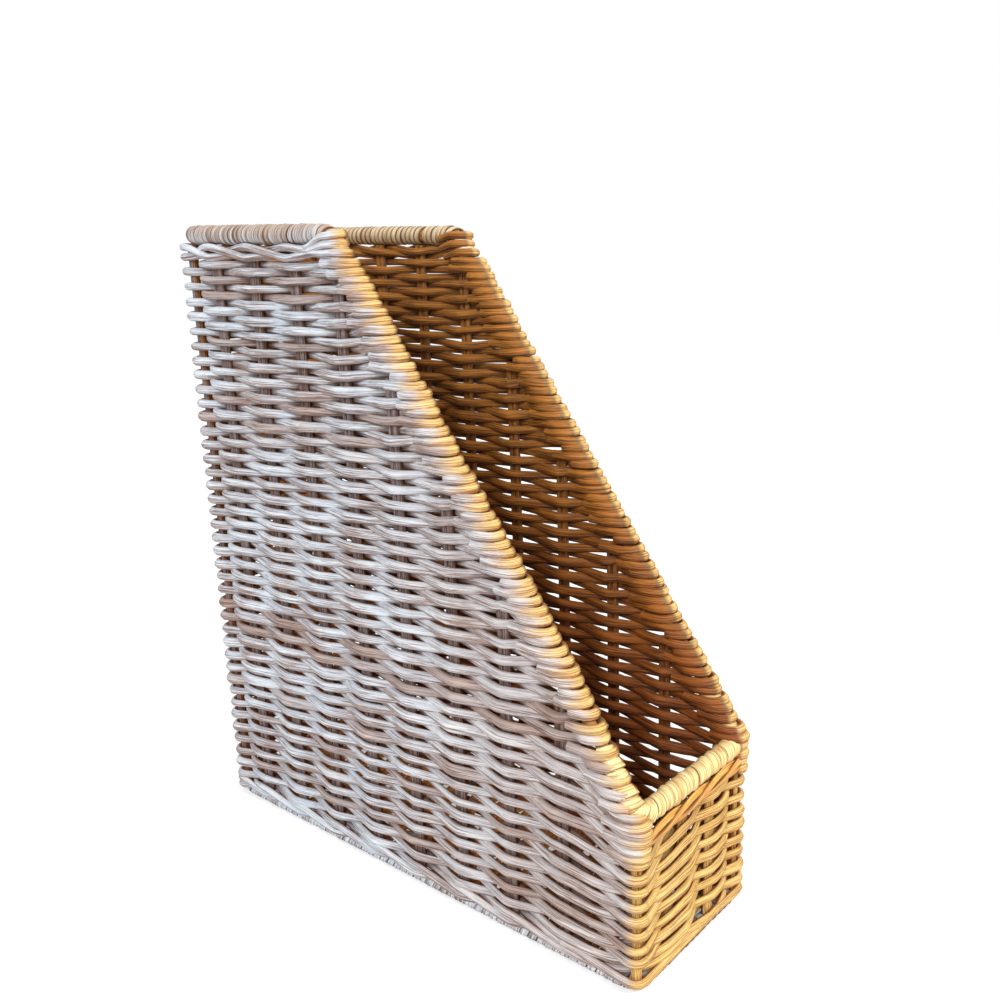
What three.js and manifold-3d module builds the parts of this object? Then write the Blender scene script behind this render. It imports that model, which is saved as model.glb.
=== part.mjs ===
// Rattan magazine basket: a narrow open box with a low front, a tall back and sloping sides.
// Millimetres. X is the width, Y the depth with the low front at -Y, Z is up.
// The origin is under the middle of the basket, on the surface that it stands on.
import * as THREE from 'three';
import { mergeVertices } from 'three/addons/utils/BufferGeometryUtils.js';
import Module from 'manifold-3d';

const wasm = await Module();
wasm.setup();

// Overall size of the basket
const width = 90;
const depth = 292;
const height = 320;
const frontHeight = 88;
const topRimLength = 120;

// Fits
const clearance = 0.3;
const overrun = 6;
const mergeDistance = 1e-4;

// Rods and stakes
const stakeDiameter = 3.4;
const stakePairOverlap = 0.3;
const postDiameter = 4.8;
const rimRodDiameter = 6;
const slopeRodDiameter = 5.4;
const footRodDiameter = 6.4;
const footFlatDepth = 0.9;
const rodSides = 12;

// Places of the stakes
const sideStakeCount = 8;
const sideFrontBay = 39.5;
const sideBackBay = 20.5;
const frontStakeShares = [0.43, 0.72];
const backStakeShares = [1 / 3, 2 / 3];

// Woven walls
const strandThickness = 3.4;
const rowPitch = 3.75;
const weaveWeb = 0.6;
const rowGroove = 0.8;
const cornerReliefShare = 0.4;
const wallCornerRadius = 7;
const cornerSteps = 1;

// Wales, the bands of thicker twisted strands
const waleProud = 0.5;
const waleStrandPitch = 4.1;
const waleGroove = 1;
const waleStrands = 2;

// Flat cane that binds the rims and the lower ends of the slopes
const caneThickness = 1.1;
const rimCaneWidth = 4.1;
const frontCaneWidth = 4.9;
const caneGap = 0.6;
const windingSteps = 8;
const mostTurns = 24;
const slopeBindingLength = 29;

// Row ends that wrap round the slope rods
const slopeWrapThickness = 1.9;
const slopeWrapGroove = 0.8;
const slopeWrapSides = 6;

// Base
const baseLift = 1.2;
const baseStrandThickness = 1.8;
const baseStickDiameter = 3.6;
const baseRowPitch = 4.5;
const baseRowGroove = 0.5;
const baseStickShares = [0.25, 0.5, 0.75];

// Every wall, post and rim rod stands on one middle line, round the plan of the basket
const wallThickness = 2 * strandThickness + stakeDiameter + 2 * clearance;
const waleThickness = wallThickness + 2 * waleProud;
const weaveRelief = strandThickness - weaveWeb;
const midX = width / 2 - waleThickness / 2;
const midY = depth / 2 - waleThickness / 2;

// Rims
const boreRadius = (rodDiameter, sides) => (rodDiameter / 2 + clearance) / Math.cos(Math.PI / sides);
const rimRadius = boreRadius(rimRodDiameter, windingSteps) + caneThickness;
const rimAxisZ = height - rimRadius;
const frontRimAxisZ = frontHeight - rimRadius;
const wallTop = height - 2 * rimRadius - clearance;
const frontWallTop = frontHeight - 2 * rimRadius - clearance;

// Foot: rods on the floor, and the wale on them
const footRodAxisZ = footRodDiameter / 2 - footFlatDepth;
const footWaleBottom = footRodDiameter - footFlatDepth + clearance;
const waleHeight = waleStrands * waleStrandPitch;
const weaveBottom = footWaleBottom + waleHeight + clearance;

// Slopes: a straight edge from the front of the side rims to the top of the front
const slopeRun = depth - topRimLength;
const slopeRise = height - frontHeight;
const slopeTilt = Math.atan2(slopeRun, slopeRise);
const slopeWrapRadius = boreRadius(slopeRodDiameter, slopeWrapSides) + slopeWrapThickness;
const slopeBindingRadius = boreRadius(slopeRodDiameter, windingSteps) + caneThickness;
const slopeCutInset = 2 * slopeWrapRadius + clearance;
const slopeBottomY = -depth / 2 + slopeBindingRadius * Math.cos(slopeTilt) + clearance;
const slopeBottomZ = slopeHeight(slopeBottomY, slopeWrapRadius);
const slopeTopZ = rimAxisZ - slopeWrapRadius * Math.sin(slopeTilt);
const slopeTopY = slopeBottomY + (slopeTopZ - slopeBottomZ) * Math.tan(slopeTilt);
const slopeLength = (slopeTopZ - slopeBottomZ) / Math.cos(slopeTilt);
const rimFrontY = slopeTopY + slopeWrapRadius * Math.cos(slopeTilt) + clearance;

// Height of the slope at a depth y, measured square to it by inset below its outer edge
function slopeHeight(y, inset) {
  return frontHeight + (y + depth / 2) * slopeRise / slopeRun - inset / Math.sin(slopeTilt);
}

function cane(color, roughness) {
  return new THREE.MeshStandardMaterial({ color, roughness, metalness: 0 });
}

const finish = {
  weave: () => cane(0xb9aba4, 0.75),
  wale: () => cane(0xb8a68f, 0.72),
  stake: () => cane(0x9d8266, 0.78),
  rod: () => cane(0xb08a55, 0.7),
  binding: () => cane(0xd9b878, 0.55),
  base: () => cane(0x8d6a3c, 0.8),
};

function toManifold(geometry) {
  const bare = geometry.clone();
  bare.deleteAttribute('normal');
  bare.deleteAttribute('uv');
  const merged = mergeVertices(bare, mergeDistance);
  const mesh = new wasm.Mesh({
    numProp: 3,
    vertProperties: new Float32Array(merged.attributes.position.array),
    triVerts: new Uint32Array(merged.index.array),
  });
  return new wasm.Manifold(mesh);
}

function toGeometry(solid) {
  const mesh = solid.getMesh();
  const geometry = new THREE.BufferGeometry();
  geometry.setAttribute('position', new THREE.BufferAttribute(mesh.vertProperties, 3));
  geometry.setIndex(new THREE.BufferAttribute(mesh.triVerts, 1));
  geometry.computeVertexNormals();
  return geometry;
}

function cutAway(geometry, cutters) {
  const whole = toManifold(geometry);
  return toGeometry(cutters.reduce((solid, cutter) => solid.subtract(toManifold(cutter)), whole));
}

// A closed solid through rings of points that all run the same way round. Where the points' insets are
// given, each patch between two rings folds along its deeper diagonal.
function loft(rings, insets = null) {
  const count = rings[0].length;
  const positions = rings.flat().flatMap((p) => [p.x, p.y, p.z]);
  const index = [];
  for (let k = 0; k + 1 < rings.length; k += 1) {
    for (let i = 0; i < count; i += 1) {
      const j = (i + 1) % count;
      const [a, b, c, d] = [k * count + i, k * count + j, (k + 1) * count + j, (k + 1) * count + i];
      const deeper = insets ? insets[k][j] + insets[k + 1][i] - insets[k][i] - insets[k + 1][j] : 0;
      index.push(...(deeper > 0 ? [a, b, d, b, c, d] : [a, b, c, a, c, d]));
    }
  }
  const last = (rings.length - 1) * count;
  for (const [a, b, c] of capTriangles(rings[0])) index.push(c, b, a);
  for (const [a, b, c] of capTriangles(rings[rings.length - 1])) index.push(last + a, last + b, last + c);
  const geometry = new THREE.BufferGeometry();
  geometry.setAttribute('position', new THREE.Float32BufferAttribute(positions, 3));
  geometry.setIndex(index);
  geometry.computeVertexNormals();
  return geometry;
}

// The triangles of an end ring, in the ring's own plane and running the ring's way round
function capTriangles(ring) {
  const across = new THREE.Vector3().subVectors(ring[1], ring[0]).normalize();
  const normal = new THREE.Vector3();
  for (let i = 0; i < ring.length; i += 1) {
    normal.add(new THREE.Vector3().crossVectors(ring[i], ring[(i + 1) % ring.length]));
  }
  const along = new THREE.Vector3().crossVectors(normal.normalize(), across);
  const flat = ring.map((p) => new THREE.Vector2(p.dot(across), p.dot(along)));
  return THREE.ShapeUtils.triangulateShape(flat, []);
}

// Plan outline of one wall: its outer face at +v, ends mitred on both sides of the corner posts. Each
// column, from corner to corner, gives how far the outer face lies back there, and the first and last
// column the inner face too.
function wallOutline(thickness, columns) {
  const half = thickness / 2;
  const mitre = postDiameter / 2 + clearance;
  const radius = wallCornerRadius + (thickness - wallThickness) / 2;
  const innerEnd = ({ u, inner }) => {
    return { u: u - Math.sign(u) * (half - inner + mitre * Math.SQRT2), v: inner - half, inset: inner };
  };
  const outerCorner = ({ u, outer }) => {
    const reach = radius - outer;
    const firstAngle = Math.PI / 4 + Math.asin(mitre / reach);
    return Array.from({ length: cornerSteps + 1 }, (_, i) => {
      const angle = firstAngle + (Math.PI / 2 - firstAngle) * i / cornerSteps;
      const along = Math.abs(u) + half - radius + reach * Math.cos(angle);
      return { u: Math.sign(u) * along, v: half - radius + reach * Math.sin(angle), inset: outer };
    });
  };
  const [first, last] = [columns[0], columns[columns.length - 1]];
  const between = columns.slice(1, -1);
  return [
    innerEnd(first),
    innerEnd(last),
    ...outerCorner(last),
    ...between.map(({ u, outer }) => ({ u, v: half - outer, inset: outer })).reverse(),
    ...outerCorner(first).reverse(),
  ];
}

// The four walls: how far each stands from the middle, half its span and its turn in plan. A row meets the
// posts and stakes as columns, counted round the basket from the front left post.
const backPost = sideStakeCount + 1;
const backRightPost = backPost + backStakeShares.length + 1;
const walls = {
  left: { offset: midX, halfSpan: midY, turn: Math.PI / 2, firstColumn: 0 },
  back: { offset: midY, halfSpan: midX, turn: 0, firstColumn: backPost },
  right: { offset: midX, halfSpan: midY, turn: -Math.PI / 2, firstColumn: backRightPost },
  front: { offset: midY, halfSpan: midX, turn: Math.PI, firstColumn: backRightPost + backPost },
};

function wallBand(side, thickness, levels) {
  const { offset, turn } = walls[side];
  const outlines = levels.map(({ columns }) => wallOutline(thickness, columns));
  const rings = outlines.map((outline, k) => outline.map(({ u, v }) => new THREE.Vector3(u, v, levels[k].z)));
  const insets = outlines.map((outline) => outline.map(({ inset }) => inset));
  return loft(rings, insets).translate(0, offset, 0).rotateZ(turn);
}

// Rows of plain weave: at each column they pass outside and inside in turn, so the outer face is proud
// where a row passes outside and lies back where it passes inside. The inner face has a groove at every
// other row.
function weaveLevels(side, bottom, top) {
  const { halfSpan, turn, firstColumn } = walls[side];
  const alongs = stakePlaces(side).map(({ x, y }) => x * Math.cos(turn) + y * Math.sin(turn));
  const places = [-halfSpan, ...alongs.sort((a, b) => a - b), halfSpan];
  const level = (z, row, backShare) => ({
    z,
    columns: places.map((u, i) => {
      const relief = Math.abs(u) < halfSpan ? weaveRelief : weaveRelief * cornerReliefShare;
      return { u, outer: relief * backShare(i), inner: rowGroove * (row % 2) };
    }),
  });
  const rows = Math.floor((top - bottom) / rowPitch);
  const levels = [level(bottom, 1, () => 0.5)];
  for (let row = 0; row < rows; row += 1) {
    levels.push(level(bottom + (row + 0.5) * rowPitch, row, (i) => (row + firstColumn + i) % 2));
  }
  levels.push(level(top, rows, () => 0.5));
  return levels;
}

// Strands laid above each other: crests at the full thickness, grooves between the strands
function waleLevels(side, bottom) {
  const { halfSpan } = walls[side];
  return Array.from({ length: 2 * waleStrands + 1 }, (_, level) => {
    const inset = level % 2 ? 0 : waleGroove;
    const columns = [-halfSpan, halfSpan].map((u) => ({ u, outer: inset, inner: inset }));
    return { z: bottom + waleStrandPitch * level / 2, columns };
  });
}

// Places of the stakes in plan, with the way that each pair lies
function stakePlaces(side) {
  const { offset, halfSpan, turn } = walls[side];
  const sideways = side === 'left' || side === 'right';
  const pitch = (2 * midY - sideFrontBay - sideBackBay) / (sideStakeCount - 1);
  const alongs = sideways
    ? Array.from({ length: sideStakeCount }, (_, i) => -midY + sideFrontBay + pitch * i)
    : (side === 'front' ? frontStakeShares : backStakeShares).map((share) => (2 * share - 1) * halfSpan);
  const across = sideways ? Math.sign(-turn) * offset : Math.sign(Math.cos(turn)) * offset;
  return alongs.map((along) => ({ x: sideways ? across : along, y: sideways ? along : across, sideways }));
}

const posts = {
  front_left: [-midX, -midY],
  front_right: [midX, -midY],
  back_left: [-midX, midY],
  back_right: [midX, midY],
};

// Two rods side by side, grown into one waisted section
function stakeShape() {
  const radius = stakeDiameter / 2;
  const reach = radius - stakePairOverlap / 2;
  const waist = Math.acos(reach / radius);
  const shape = new THREE.Shape();
  shape.absarc(reach, 0, radius, waist - Math.PI, Math.PI - waist, false);
  shape.absarc(-reach, 0, radius, waist, 2 * Math.PI - waist, false);
  return shape;
}

function channelShape() {
  const radius = stakeDiameter / 2;
  const reach = radius - stakePairOverlap / 2;
  const shape = new THREE.Shape();
  shape.absarc(reach, 0, radius + clearance, -Math.PI / 2, Math.PI / 2, false);
  shape.absarc(-reach, 0, radius + clearance, Math.PI / 2, 3 * Math.PI / 2, false);
  return shape;
}

function uprights(shape, length) {
  return new THREE.ExtrudeGeometry(shape, { depth: length, bevelEnabled: false, curveSegments: rodSides / 4 });
}

function placeUpright(geometry, place, bottom) {
  if (place.sideways) geometry.rotateZ(Math.PI / 2);
  return geometry.translate(place.x, place.y, bottom);
}

// Cutters that run the whole height of the basket
const fullCut = height + 2 * overrun;

function stakeChannels(side) {
  return stakePlaces(side).map((place) => placeUpright(uprights(channelShape(), fullCut), place, -overrun));
}

// All that lies above the slope, as a wedge across the basket
function slopeCutter() {
  const frontEnd = -depth / 2 - overrun;
  const backEnd = depth / 2 + overrun;
  const roof = slopeHeight(backEnd, 0) + overrun;
  const profile = new THREE.Shape([
    new THREE.Vector2(frontEnd, slopeHeight(frontEnd, slopeCutInset)),
    new THREE.Vector2(backEnd, slopeHeight(backEnd, slopeCutInset)),
    new THREE.Vector2(backEnd, roof),
    new THREE.Vector2(frontEnd, roof),
  ]);
  const wedge = new THREE.ExtrudeGeometry(profile, { depth: width + 2 * overrun, bevelEnabled: false });
  return wedge.rotateX(Math.PI / 2).rotateZ(Math.PI / 2).translate(-width / 2 - overrun, 0, 0);
}

function wallGeometry(side, thickness, levels) {
  const cutters = stakeChannels(side);
  if (side === 'left' || side === 'right') cutters.push(slopeCutter());
  return cutAway(wallBand(side, thickness, levels), cutters);
}

// A flat cane wound as one unbroken helix round a rod along +Z, from z = 0
function winding(name, rodDiameter, length, caneWidth) {
  const inner = boreRadius(rodDiameter, windingSteps);
  const outer = inner + caneThickness;
  const turns = Math.min(mostTurns, Math.floor((length - caneWidth) / (caneWidth + caneGap)));
  const pitch = (length - caneWidth) / turns;
  const rings = [];
  for (let step = 0; step <= turns * windingSteps; step += 1) {
    const angle = 2 * Math.PI * step / windingSteps;
    const z = caneWidth / 2 + pitch * step / windingSteps;
    const section = [[inner, -1], [outer, -1], [outer, 1], [inner, 1]];
    rings.push(section.map(([radius, edge]) => new THREE.Vector3(
      radius * Math.cos(angle), radius * Math.sin(angle), z + edge * caneWidth / 2)));
  }
  console.log(`${name}: ${turns} turns, least gap to itself ${leastGap(rings).toFixed(2)} mm`);
  return loft(rings.map((ring) => [...ring].reverse()));
}

// Least distance between points of a winding that lie over half a turn apart
function leastGap(rings) {
  let least = Infinity;
  for (let i = 0; i < rings.length; i += 1) {
    for (let j = i + windingSteps / 2; j < Math.min(rings.length, i + 2 * windingSteps); j += 1) {
      for (const p of rings[i]) for (const q of rings[j]) least = Math.min(least, p.distanceTo(q));
    }
  }
  return least;
}

// Row ends side by side round a slope rod along +Z: a ridged sleeve with the rod's bore
function slopeWraps(length) {
  const inner = boreRadius(slopeRodDiameter, slopeWrapSides);
  const ridges = Math.round(length * Math.cos(slopeTilt) / rowPitch);
  const profile = [new THREE.Vector2(inner, 0)];
  for (let level = 0; level <= 2 * ridges; level += 1) {
    const radius = slopeWrapRadius - (level % 2 ? 0 : slopeWrapGroove);
    profile.push(new THREE.Vector2(radius, length * level / (2 * ridges)));
  }
  profile.push(new THREE.Vector2(inner, length), new THREE.Vector2(inner, 0));
  return new THREE.LatheGeometry(profile, slopeWrapSides).rotateX(Math.PI / 2);
}

function rod(diameter, length) {
  return new THREE.CylinderGeometry(diameter / 2, diameter / 2, length, rodSides)
    .rotateX(Math.PI / 2).translate(0, 0, length / 2);
}

// A rod along +Z with a flat along its -Y side
function footRod(length) {
  const radius = footRodDiameter / 2;
  const flat = Math.acos(footRodAxisZ / radius);
  const shape = new THREE.Shape();
  shape.absarc(0, 0, radius, flat - Math.PI / 2, 3 * Math.PI / 2 - flat, false);
  return new THREE.ExtrudeGeometry(shape, { depth: length, bevelEnabled: false, curveSegments: rodSides / 2 });
}

// A flat woven panel: rows across X, laid side by side along Y
function basePanel(halfX, halfY, thickness) {
  const rows = Math.round(halfY / baseRowPitch);
  const outline = [];
  for (let level = 0; level <= 2 * rows; level += 1) {
    const groove = level % 2 ? 0 : baseRowGroove;
    outline.push(new THREE.Vector2(-halfY + halfY * level / rows, thickness - groove));
  }
  const underside = outline.map((p) => new THREE.Vector2(p.x, thickness - p.y)).reverse();
  const profile = new THREE.Shape([...underside, ...outline].reverse());
  const panel = new THREE.ExtrudeGeometry(profile, { depth: 2 * halfX, bevelEnabled: false });
  return panel.rotateX(Math.PI / 2).rotateZ(Math.PI / 2).translate(-halfX, 0, 0);
}

function piece(group, name, geometry, material) {
  const mesh = new THREE.Mesh(geometry, material);
  mesh.name = name;
  group.add(mesh);
  return mesh;
}

const basket = new THREE.Group();

// Woven walls, and the wales at the foot, under the side rims and under the front rim
function addWalls() {
  const group = new THREE.Group();
  const tops = {
    left: wallTop - waleHeight - clearance,
    right: wallTop - waleHeight - clearance,
    back: wallTop,
    front: frontWallTop - waleHeight - clearance,
  };
  const addWale = (name, side, bottom) => {
    piece(group, name, wallGeometry(side, waleThickness, waleLevels(side, bottom)), finish.wale());
  };
  for (const side of Object.keys(walls)) {
    const weave = wallGeometry(side, wallThickness, weaveLevels(side, weaveBottom, tops[side]));
    piece(group, `${side}_weave`, weave, finish.weave());
    addWale(`foot_wale_${side}`, side, footWaleBottom);
  }
  addWale('top_wale_left', 'left', wallTop - waleHeight);
  addWale('top_wale_right', 'right', wallTop - waleHeight);
  addWale('front_wale', 'front', frontWallTop - waleHeight);
  basket.add(group);
}

// Height at which a stake of the side walls ends: under the rim, or under the slope
function stakeTop(place, side) {
  if (side === 'front') return frontWallTop;
  if (side === 'back') return wallTop;
  return Math.min(wallTop, slopeHeight(place.y - stakeDiameter, slopeCutInset));
}

function addStakes() {
  const group = new THREE.Group();
  for (const side of Object.keys(walls)) {
    stakePlaces(side).forEach((place, i) => {
      const length = stakeTop(place, side) - footWaleBottom;
      const stake = piece(group, `${side}_stake_${i + 1}`, uprights(stakeShape(), length), finish.stake());
      stake.position.set(place.x, place.y, footWaleBottom);
      if (place.sideways) stake.rotation.z = Math.PI / 2;
    });
  }
  basket.add(group);
}

// The front posts stop short of the square lower ends of the slope rods
function postTop(y) {
  if (y > 0) return wallTop;
  const reach = y + postDiameter / 2 - slopeBottomY;
  return slopeBottomZ - (clearance + reach * Math.sin(slopeTilt)) / Math.cos(slopeTilt);
}

function addPosts() {
  const group = new THREE.Group();
  for (const [place, [x, y]] of Object.entries(posts)) {
    const length = postTop(y) - footWaleBottom;
    const post = piece(group, `corner_post_${place}`, rod(postDiameter, length), finish.stake());
    post.position.set(x, y, footWaleBottom);
  }
  basket.add(group);
}

// A rim: a rod with its cane binding, both along local +Z
function addRim(side, length, caneWidth, place, turn) {
  const group = new THREE.Group();
  piece(group, `rim_rod_${side}`, rod(rimRodDiameter, length), finish.rod());
  const name = `rim_binding_${side}`;
  piece(group, name, winding(name, rimRodDiameter, length, caneWidth), finish.binding());
  group.position.copy(place);
  group.rotation.copy(turn);
  basket.add(group);
}

function addRims() {
  const alongY = new THREE.Euler(-Math.PI / 2, 0, 0);
  const alongX = new THREE.Euler(0, Math.PI / 2, 0);
  const sideLength = midY + rimRadius - rimFrontY;
  addRim('left', sideLength, rimCaneWidth, new THREE.Vector3(-midX, rimFrontY, rimAxisZ), alongY);
  addRim('right', sideLength, rimCaneWidth, new THREE.Vector3(midX, rimFrontY, rimAxisZ), alongY);
  const backHalf = midX - rimRadius - clearance;
  addRim('back', 2 * backHalf, rimCaneWidth, new THREE.Vector3(-backHalf, midY, rimAxisZ), alongX);
  const frontHalf = midX - slopeBindingRadius - clearance;
  addRim('front', 2 * frontHalf, frontCaneWidth, new THREE.Vector3(-frontHalf, -midY, frontRimAxisZ), alongX);
}

// A slope: its rod, the row ends round it, and the cane binding of its lower end
function addSlopes() {
  for (const [side, x] of [['left', -midX], ['right', midX]]) {
    const group = new THREE.Group();
    const wrapsStart = slopeBindingLength + clearance;
    piece(group, `slope_rod_${side}`, rod(slopeRodDiameter, slopeLength), finish.rod());
    const wraps = piece(group, `slope_wraps_${side}`, slopeWraps(slopeLength - wrapsStart), finish.weave());
    wraps.position.z = wrapsStart;
    const name = `slope_binding_${side}`;
    const binding = winding(name, slopeRodDiameter, slopeBindingLength, rimCaneWidth);
    piece(group, name, binding, finish.binding());
    group.position.set(x, slopeBottomY, slopeBottomZ);
    group.rotation.x = -slopeTilt;
    basket.add(group);
  }
}

function addFoot() {
  const group = new THREE.Group();
  const radius = footRodDiameter / 2;
  const longLength = 2 * (midY + radius);
  const shortLength = 2 * (midX - radius - clearance);
  for (const [side, x] of [['left', -midX], ['right', midX]]) {
    const long = piece(group, `foot_rod_${side}`, footRod(longLength), finish.rod());
    long.rotation.set(Math.PI / 2, 0, 0);
    long.position.set(x, longLength / 2, footRodAxisZ);
  }
  for (const [side, y] of [['front', -midY], ['back', midY]]) {
    const short = piece(group, `foot_rod_${side}`, footRod(shortLength), finish.rod());
    short.rotation.set(Math.PI / 2, 0, Math.PI / 2, 'ZYX');
    short.position.set(-shortLength / 2, y, footRodAxisZ);
  }
  basket.add(group);
}

function addBase() {
  const group = new THREE.Group();
  const halfX = midX - waleThickness / 2 - clearance;
  const halfY = midY - waleThickness / 2 - clearance;
  const thickness = 2 * baseStrandThickness + baseStickDiameter + 2 * clearance;
  const stickPlaces = baseStickShares.map((share) => (2 * share - 1) * halfX);
  const bores = stickPlaces.map((x) => rod(baseStickDiameter + 2 * clearance, 2 * (halfY + overrun))
    .rotateX(Math.PI / 2).translate(x, halfY + overrun, thickness / 2));
  const panel = piece(group, 'base_weave', cutAway(basePanel(halfX, halfY, thickness), bores), finish.base());
  panel.position.z = baseLift;
  stickPlaces.forEach((x, i) => {
    const stick = piece(group, `base_stick_${i + 1}`, rod(baseStickDiameter, 2 * halfY), finish.rod());
    stick.rotation.x = Math.PI / 2;
    stick.position.set(x, halfY, baseLift + thickness / 2);
  });
  basket.add(group);
}

addWalls();
addStakes();
addPosts();
addRims();
addSlopes();
addFoot();
addBase();

export default basket;
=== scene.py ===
"""A whitewashed woven magazine basket: its strands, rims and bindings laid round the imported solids.

Lengths are in metres in the basket's own frame: +Z up, the low front towards -Y, the left wall at -X.
A row of the weave is a path of knots, one or two at each upright that it passes. A Geometry Nodes tree
sweeps every path into a round strand or a flat strip of cane.
"""
import math
import random
from collections import namedtuple

import bpy
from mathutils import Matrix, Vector, noise


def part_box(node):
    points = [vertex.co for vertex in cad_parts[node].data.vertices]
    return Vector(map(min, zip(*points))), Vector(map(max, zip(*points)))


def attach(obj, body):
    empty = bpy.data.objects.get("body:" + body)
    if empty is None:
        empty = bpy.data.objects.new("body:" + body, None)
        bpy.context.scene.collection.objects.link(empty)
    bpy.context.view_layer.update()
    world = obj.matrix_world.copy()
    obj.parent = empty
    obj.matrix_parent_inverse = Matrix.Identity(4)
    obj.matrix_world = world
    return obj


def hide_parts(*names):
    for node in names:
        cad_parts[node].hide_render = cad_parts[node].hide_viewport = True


MM = 0.001
BODY = "root"
UP = Vector((0, 0, 1))
LEFT, BACK, RIGHT, FRONT = (Vector(v) for v in ((-1, 0, 0), (0, 1, 0), (1, 0, 0), (0, -1, 0)))

# Weave: round strands a little taller than thick, beaten down in rows
STRAND_THICKNESS = 3.7 * MM
STRAND_HEIGHT = 4.5 * MM
STRAND_SIDES = 12
STRAND_STEP = 2.3 * MM
STRAND_WAVER = 0.6 * MM
STRAND_UNEVENNESS = 0.18
WEAVE_CLEARANCE = 0.3 * MM
ROW_PITCH = 3.75 * MM
ROW_JITTER = 0.5 * MM
PASS_SHIFT = 2.2 * MM

# Girth of the closed rings, and of the open rows at the slope's foot and at its head
RING_GIRTH, LOW_GIRTH, HIGH_GIRTH = 1.04, 1.19, 0.92
GIRTH_SPREAD = 0.16
RING_SQUEEZE_SHARE = 0.08
OPEN_SQUEEZE_SHARE = 0.6 * RING_SQUEEZE_SHARE

# Drift: the rows rise and fall together, in waves per metre, but lie level at the foot and under the rim
ROW_DRIFT = 1.5 * MM
DRIFT_WAVES = Vector((8, 11, 14))
DRIFT_GROWS = (20 * MM, 60 * MM)
DRIFT_FADES = (270 * MM, 300 * MM)

# Turns: pull of a curve at its knots as a share of the chord, and how rows sink at the left front corner
STRAIGHT_PULL_SHARE = 0.52
BEND_PULL_SHARE = 0.17
SLIGHT_TURN = 0.1
CORNER_TURN = 6 * MM
CORNER_DIP_SHARE = 0.09
CORNER_DIP_REACH = 32 * MM

# Slope: every row above the front rim ends in a loop round the slope rod
LOOP_CLEARANCE = 7 * MM
LOOP_REACH_SHARE = 1.2
LOOP_SLACK = 1.3 * MM
LOOP_START = 2 * MM
LOOP_TAIL = (7.5 * MM, 14 * MM)
LOOP_SAG = (-0.5 * MM, 1.2 * MM)
LOOP_PRESS = 0.4 * MM
LOOP_GIRTHS = (1.03, 1.08, 1.08, 1.0)
LOOP_OUTWARD_SHARE = 0.9
LOOP_FRONT_SHARE = 0.4

# Near the slope the rows lie higher, because the loops stack fatter than the rows
EDGE_RISE = 3.2 * MM
EDGE_RISE_RUN = 38 * MM
EDGE_RISE_GROWS = (80 * MM, 130 * MM)
EDGE_RISE_TOP_LOSS = 0.6
WALL_TOLERANCE = 1 * MM

# Head of the slope: the three strands of the top wale climb to it one above the other and end inside
HEAD_RISES = (-8.6 * MM, -4.3 * MM, 0.0 * MM)
HEAD_RUN = 13 * MM
HEAD_START = 1 * MM
HEAD_CLIMB_LEFT = (0.75, 0.15)
HEAD_TAIL = (8 * MM, 12 * MM)
HEAD_TAIL_DROP = 2 * MM
HEAD_GIRTHS = (1.0, 1.08, 1.1, 1.05, 0.95)

# Wales: three strands that pass in front of two uprights and behind the third
WALE_THICKNESS = 3.7 * MM
WALE_HEIGHT = 1.05 * WALE_THICKNESS
WALE_WAVER = 0.5 * MM
WALE_UNEVENNESS = 0.15
WALE_LIFT = 1.95 * MM
TOP_WALE_LIFT = 2.5 * MM
TOP_WALE_RAISE = 0.8 * MM
FOOT_WALE_DROP = 2.2 * MM
FRONT_STRAND_DROP = 1.6 * MM
FRONT_STRAND_REACH = 8 * MM

# Front wale: flat strips twisted loosely, which climb a little from left to right
FRONT_STRIPS = 3
FRONT_STRIP_THICKNESS = 1.3 * MM
FRONT_STRIP_WIDTH = 3.3 * MM
FRONT_STRIP_SWING = 2.6 * MM
FRONT_STRIP_DEPTH = 1.2 * FRONT_STRIP_THICKNESS
FRONT_STRIP_TILT = 0.35
FRONT_STRIP_WAVER = 0.8 * MM
FRONT_STRIP_UNEVENNESS = 0.2
FRONT_TWISTS = 1.2
FRONT_WALE_START_SHARE = 0.45
FRONT_WALE_CLIMB_SHARE = 0.25

# Base: a flat strand to and fro over three sticks
BASE_THICKNESS = 1.9 * MM
BASE_WIDTH = 4.3 * MM
BASE_SIDES = 8
BASE_STEP = 3.0 * MM
BASE_PITCH = 4.5 * MM
BASE_OVERLAP = 3.5 * MM
BASE_REACH = 0.5 * MM
BASE_WAVER = 0.4 * MM
BASE_UNEVENNESS = 0.1

# Uprights and sticks
ROD_STEP = 5 * MM
ROD_WAVER = 0.35 * MM
ROD_UNEVENNESS = 0.08
STAKE_CLEARANCE = 3 * MM

# Bindings: flat cane wound turn by turn
CANE_THICKNESS = 1.1 * MM
CANE_CORNER_STEPS = 3
CANE_ROUNDING_SHARE = 0.45
RIM_CANE_WIDTH = 3.3 * MM
FRONT_CANE_WIDTH = 5.2 * MM
FOOT_CANE_WIDTH = 4.4 * MM
FOOT_CANE_SINK = 0.62 * CANE_THICKNESS
TURN_STEPS = 18
TURN_SWELL = (-0.1 * MM, 0.2 * MM)
TURN_LEAN = (0.3, 1.5)
GAP_WIDTH = 2.8 * MM
GAP_SPREAD = (0.5, 1.3)
BEND_STEPS = 6
RIM_BEND = 6.5 * MM
FRONT_RIM_BEND = 8 * MM
FRONT_RIM_FORWARD = 1 * MM
FOOT_BEND = 7 * MM
HEAD_DROP = 9 * MM

# Sweep: waves per metre of a strand's waver and of its swelling, and the metres of rattan it is cut from
WAVER_WAVES = 90.0
SWELL_WAVES = 55.0
RATTAN_LENGTH = 5.0

# A strand's thickness lies along facing, and outside is what its finish takes for the way out of the basket
Knot = namedtuple("Knot", "place heading facing outside girth")
Point = namedtuple("Point", "place facing outside girth")

# before and after are the outward directions of the walls on either side, half is half the thickness
Upright = namedtuple("Upright", "node place before after half")

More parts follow.
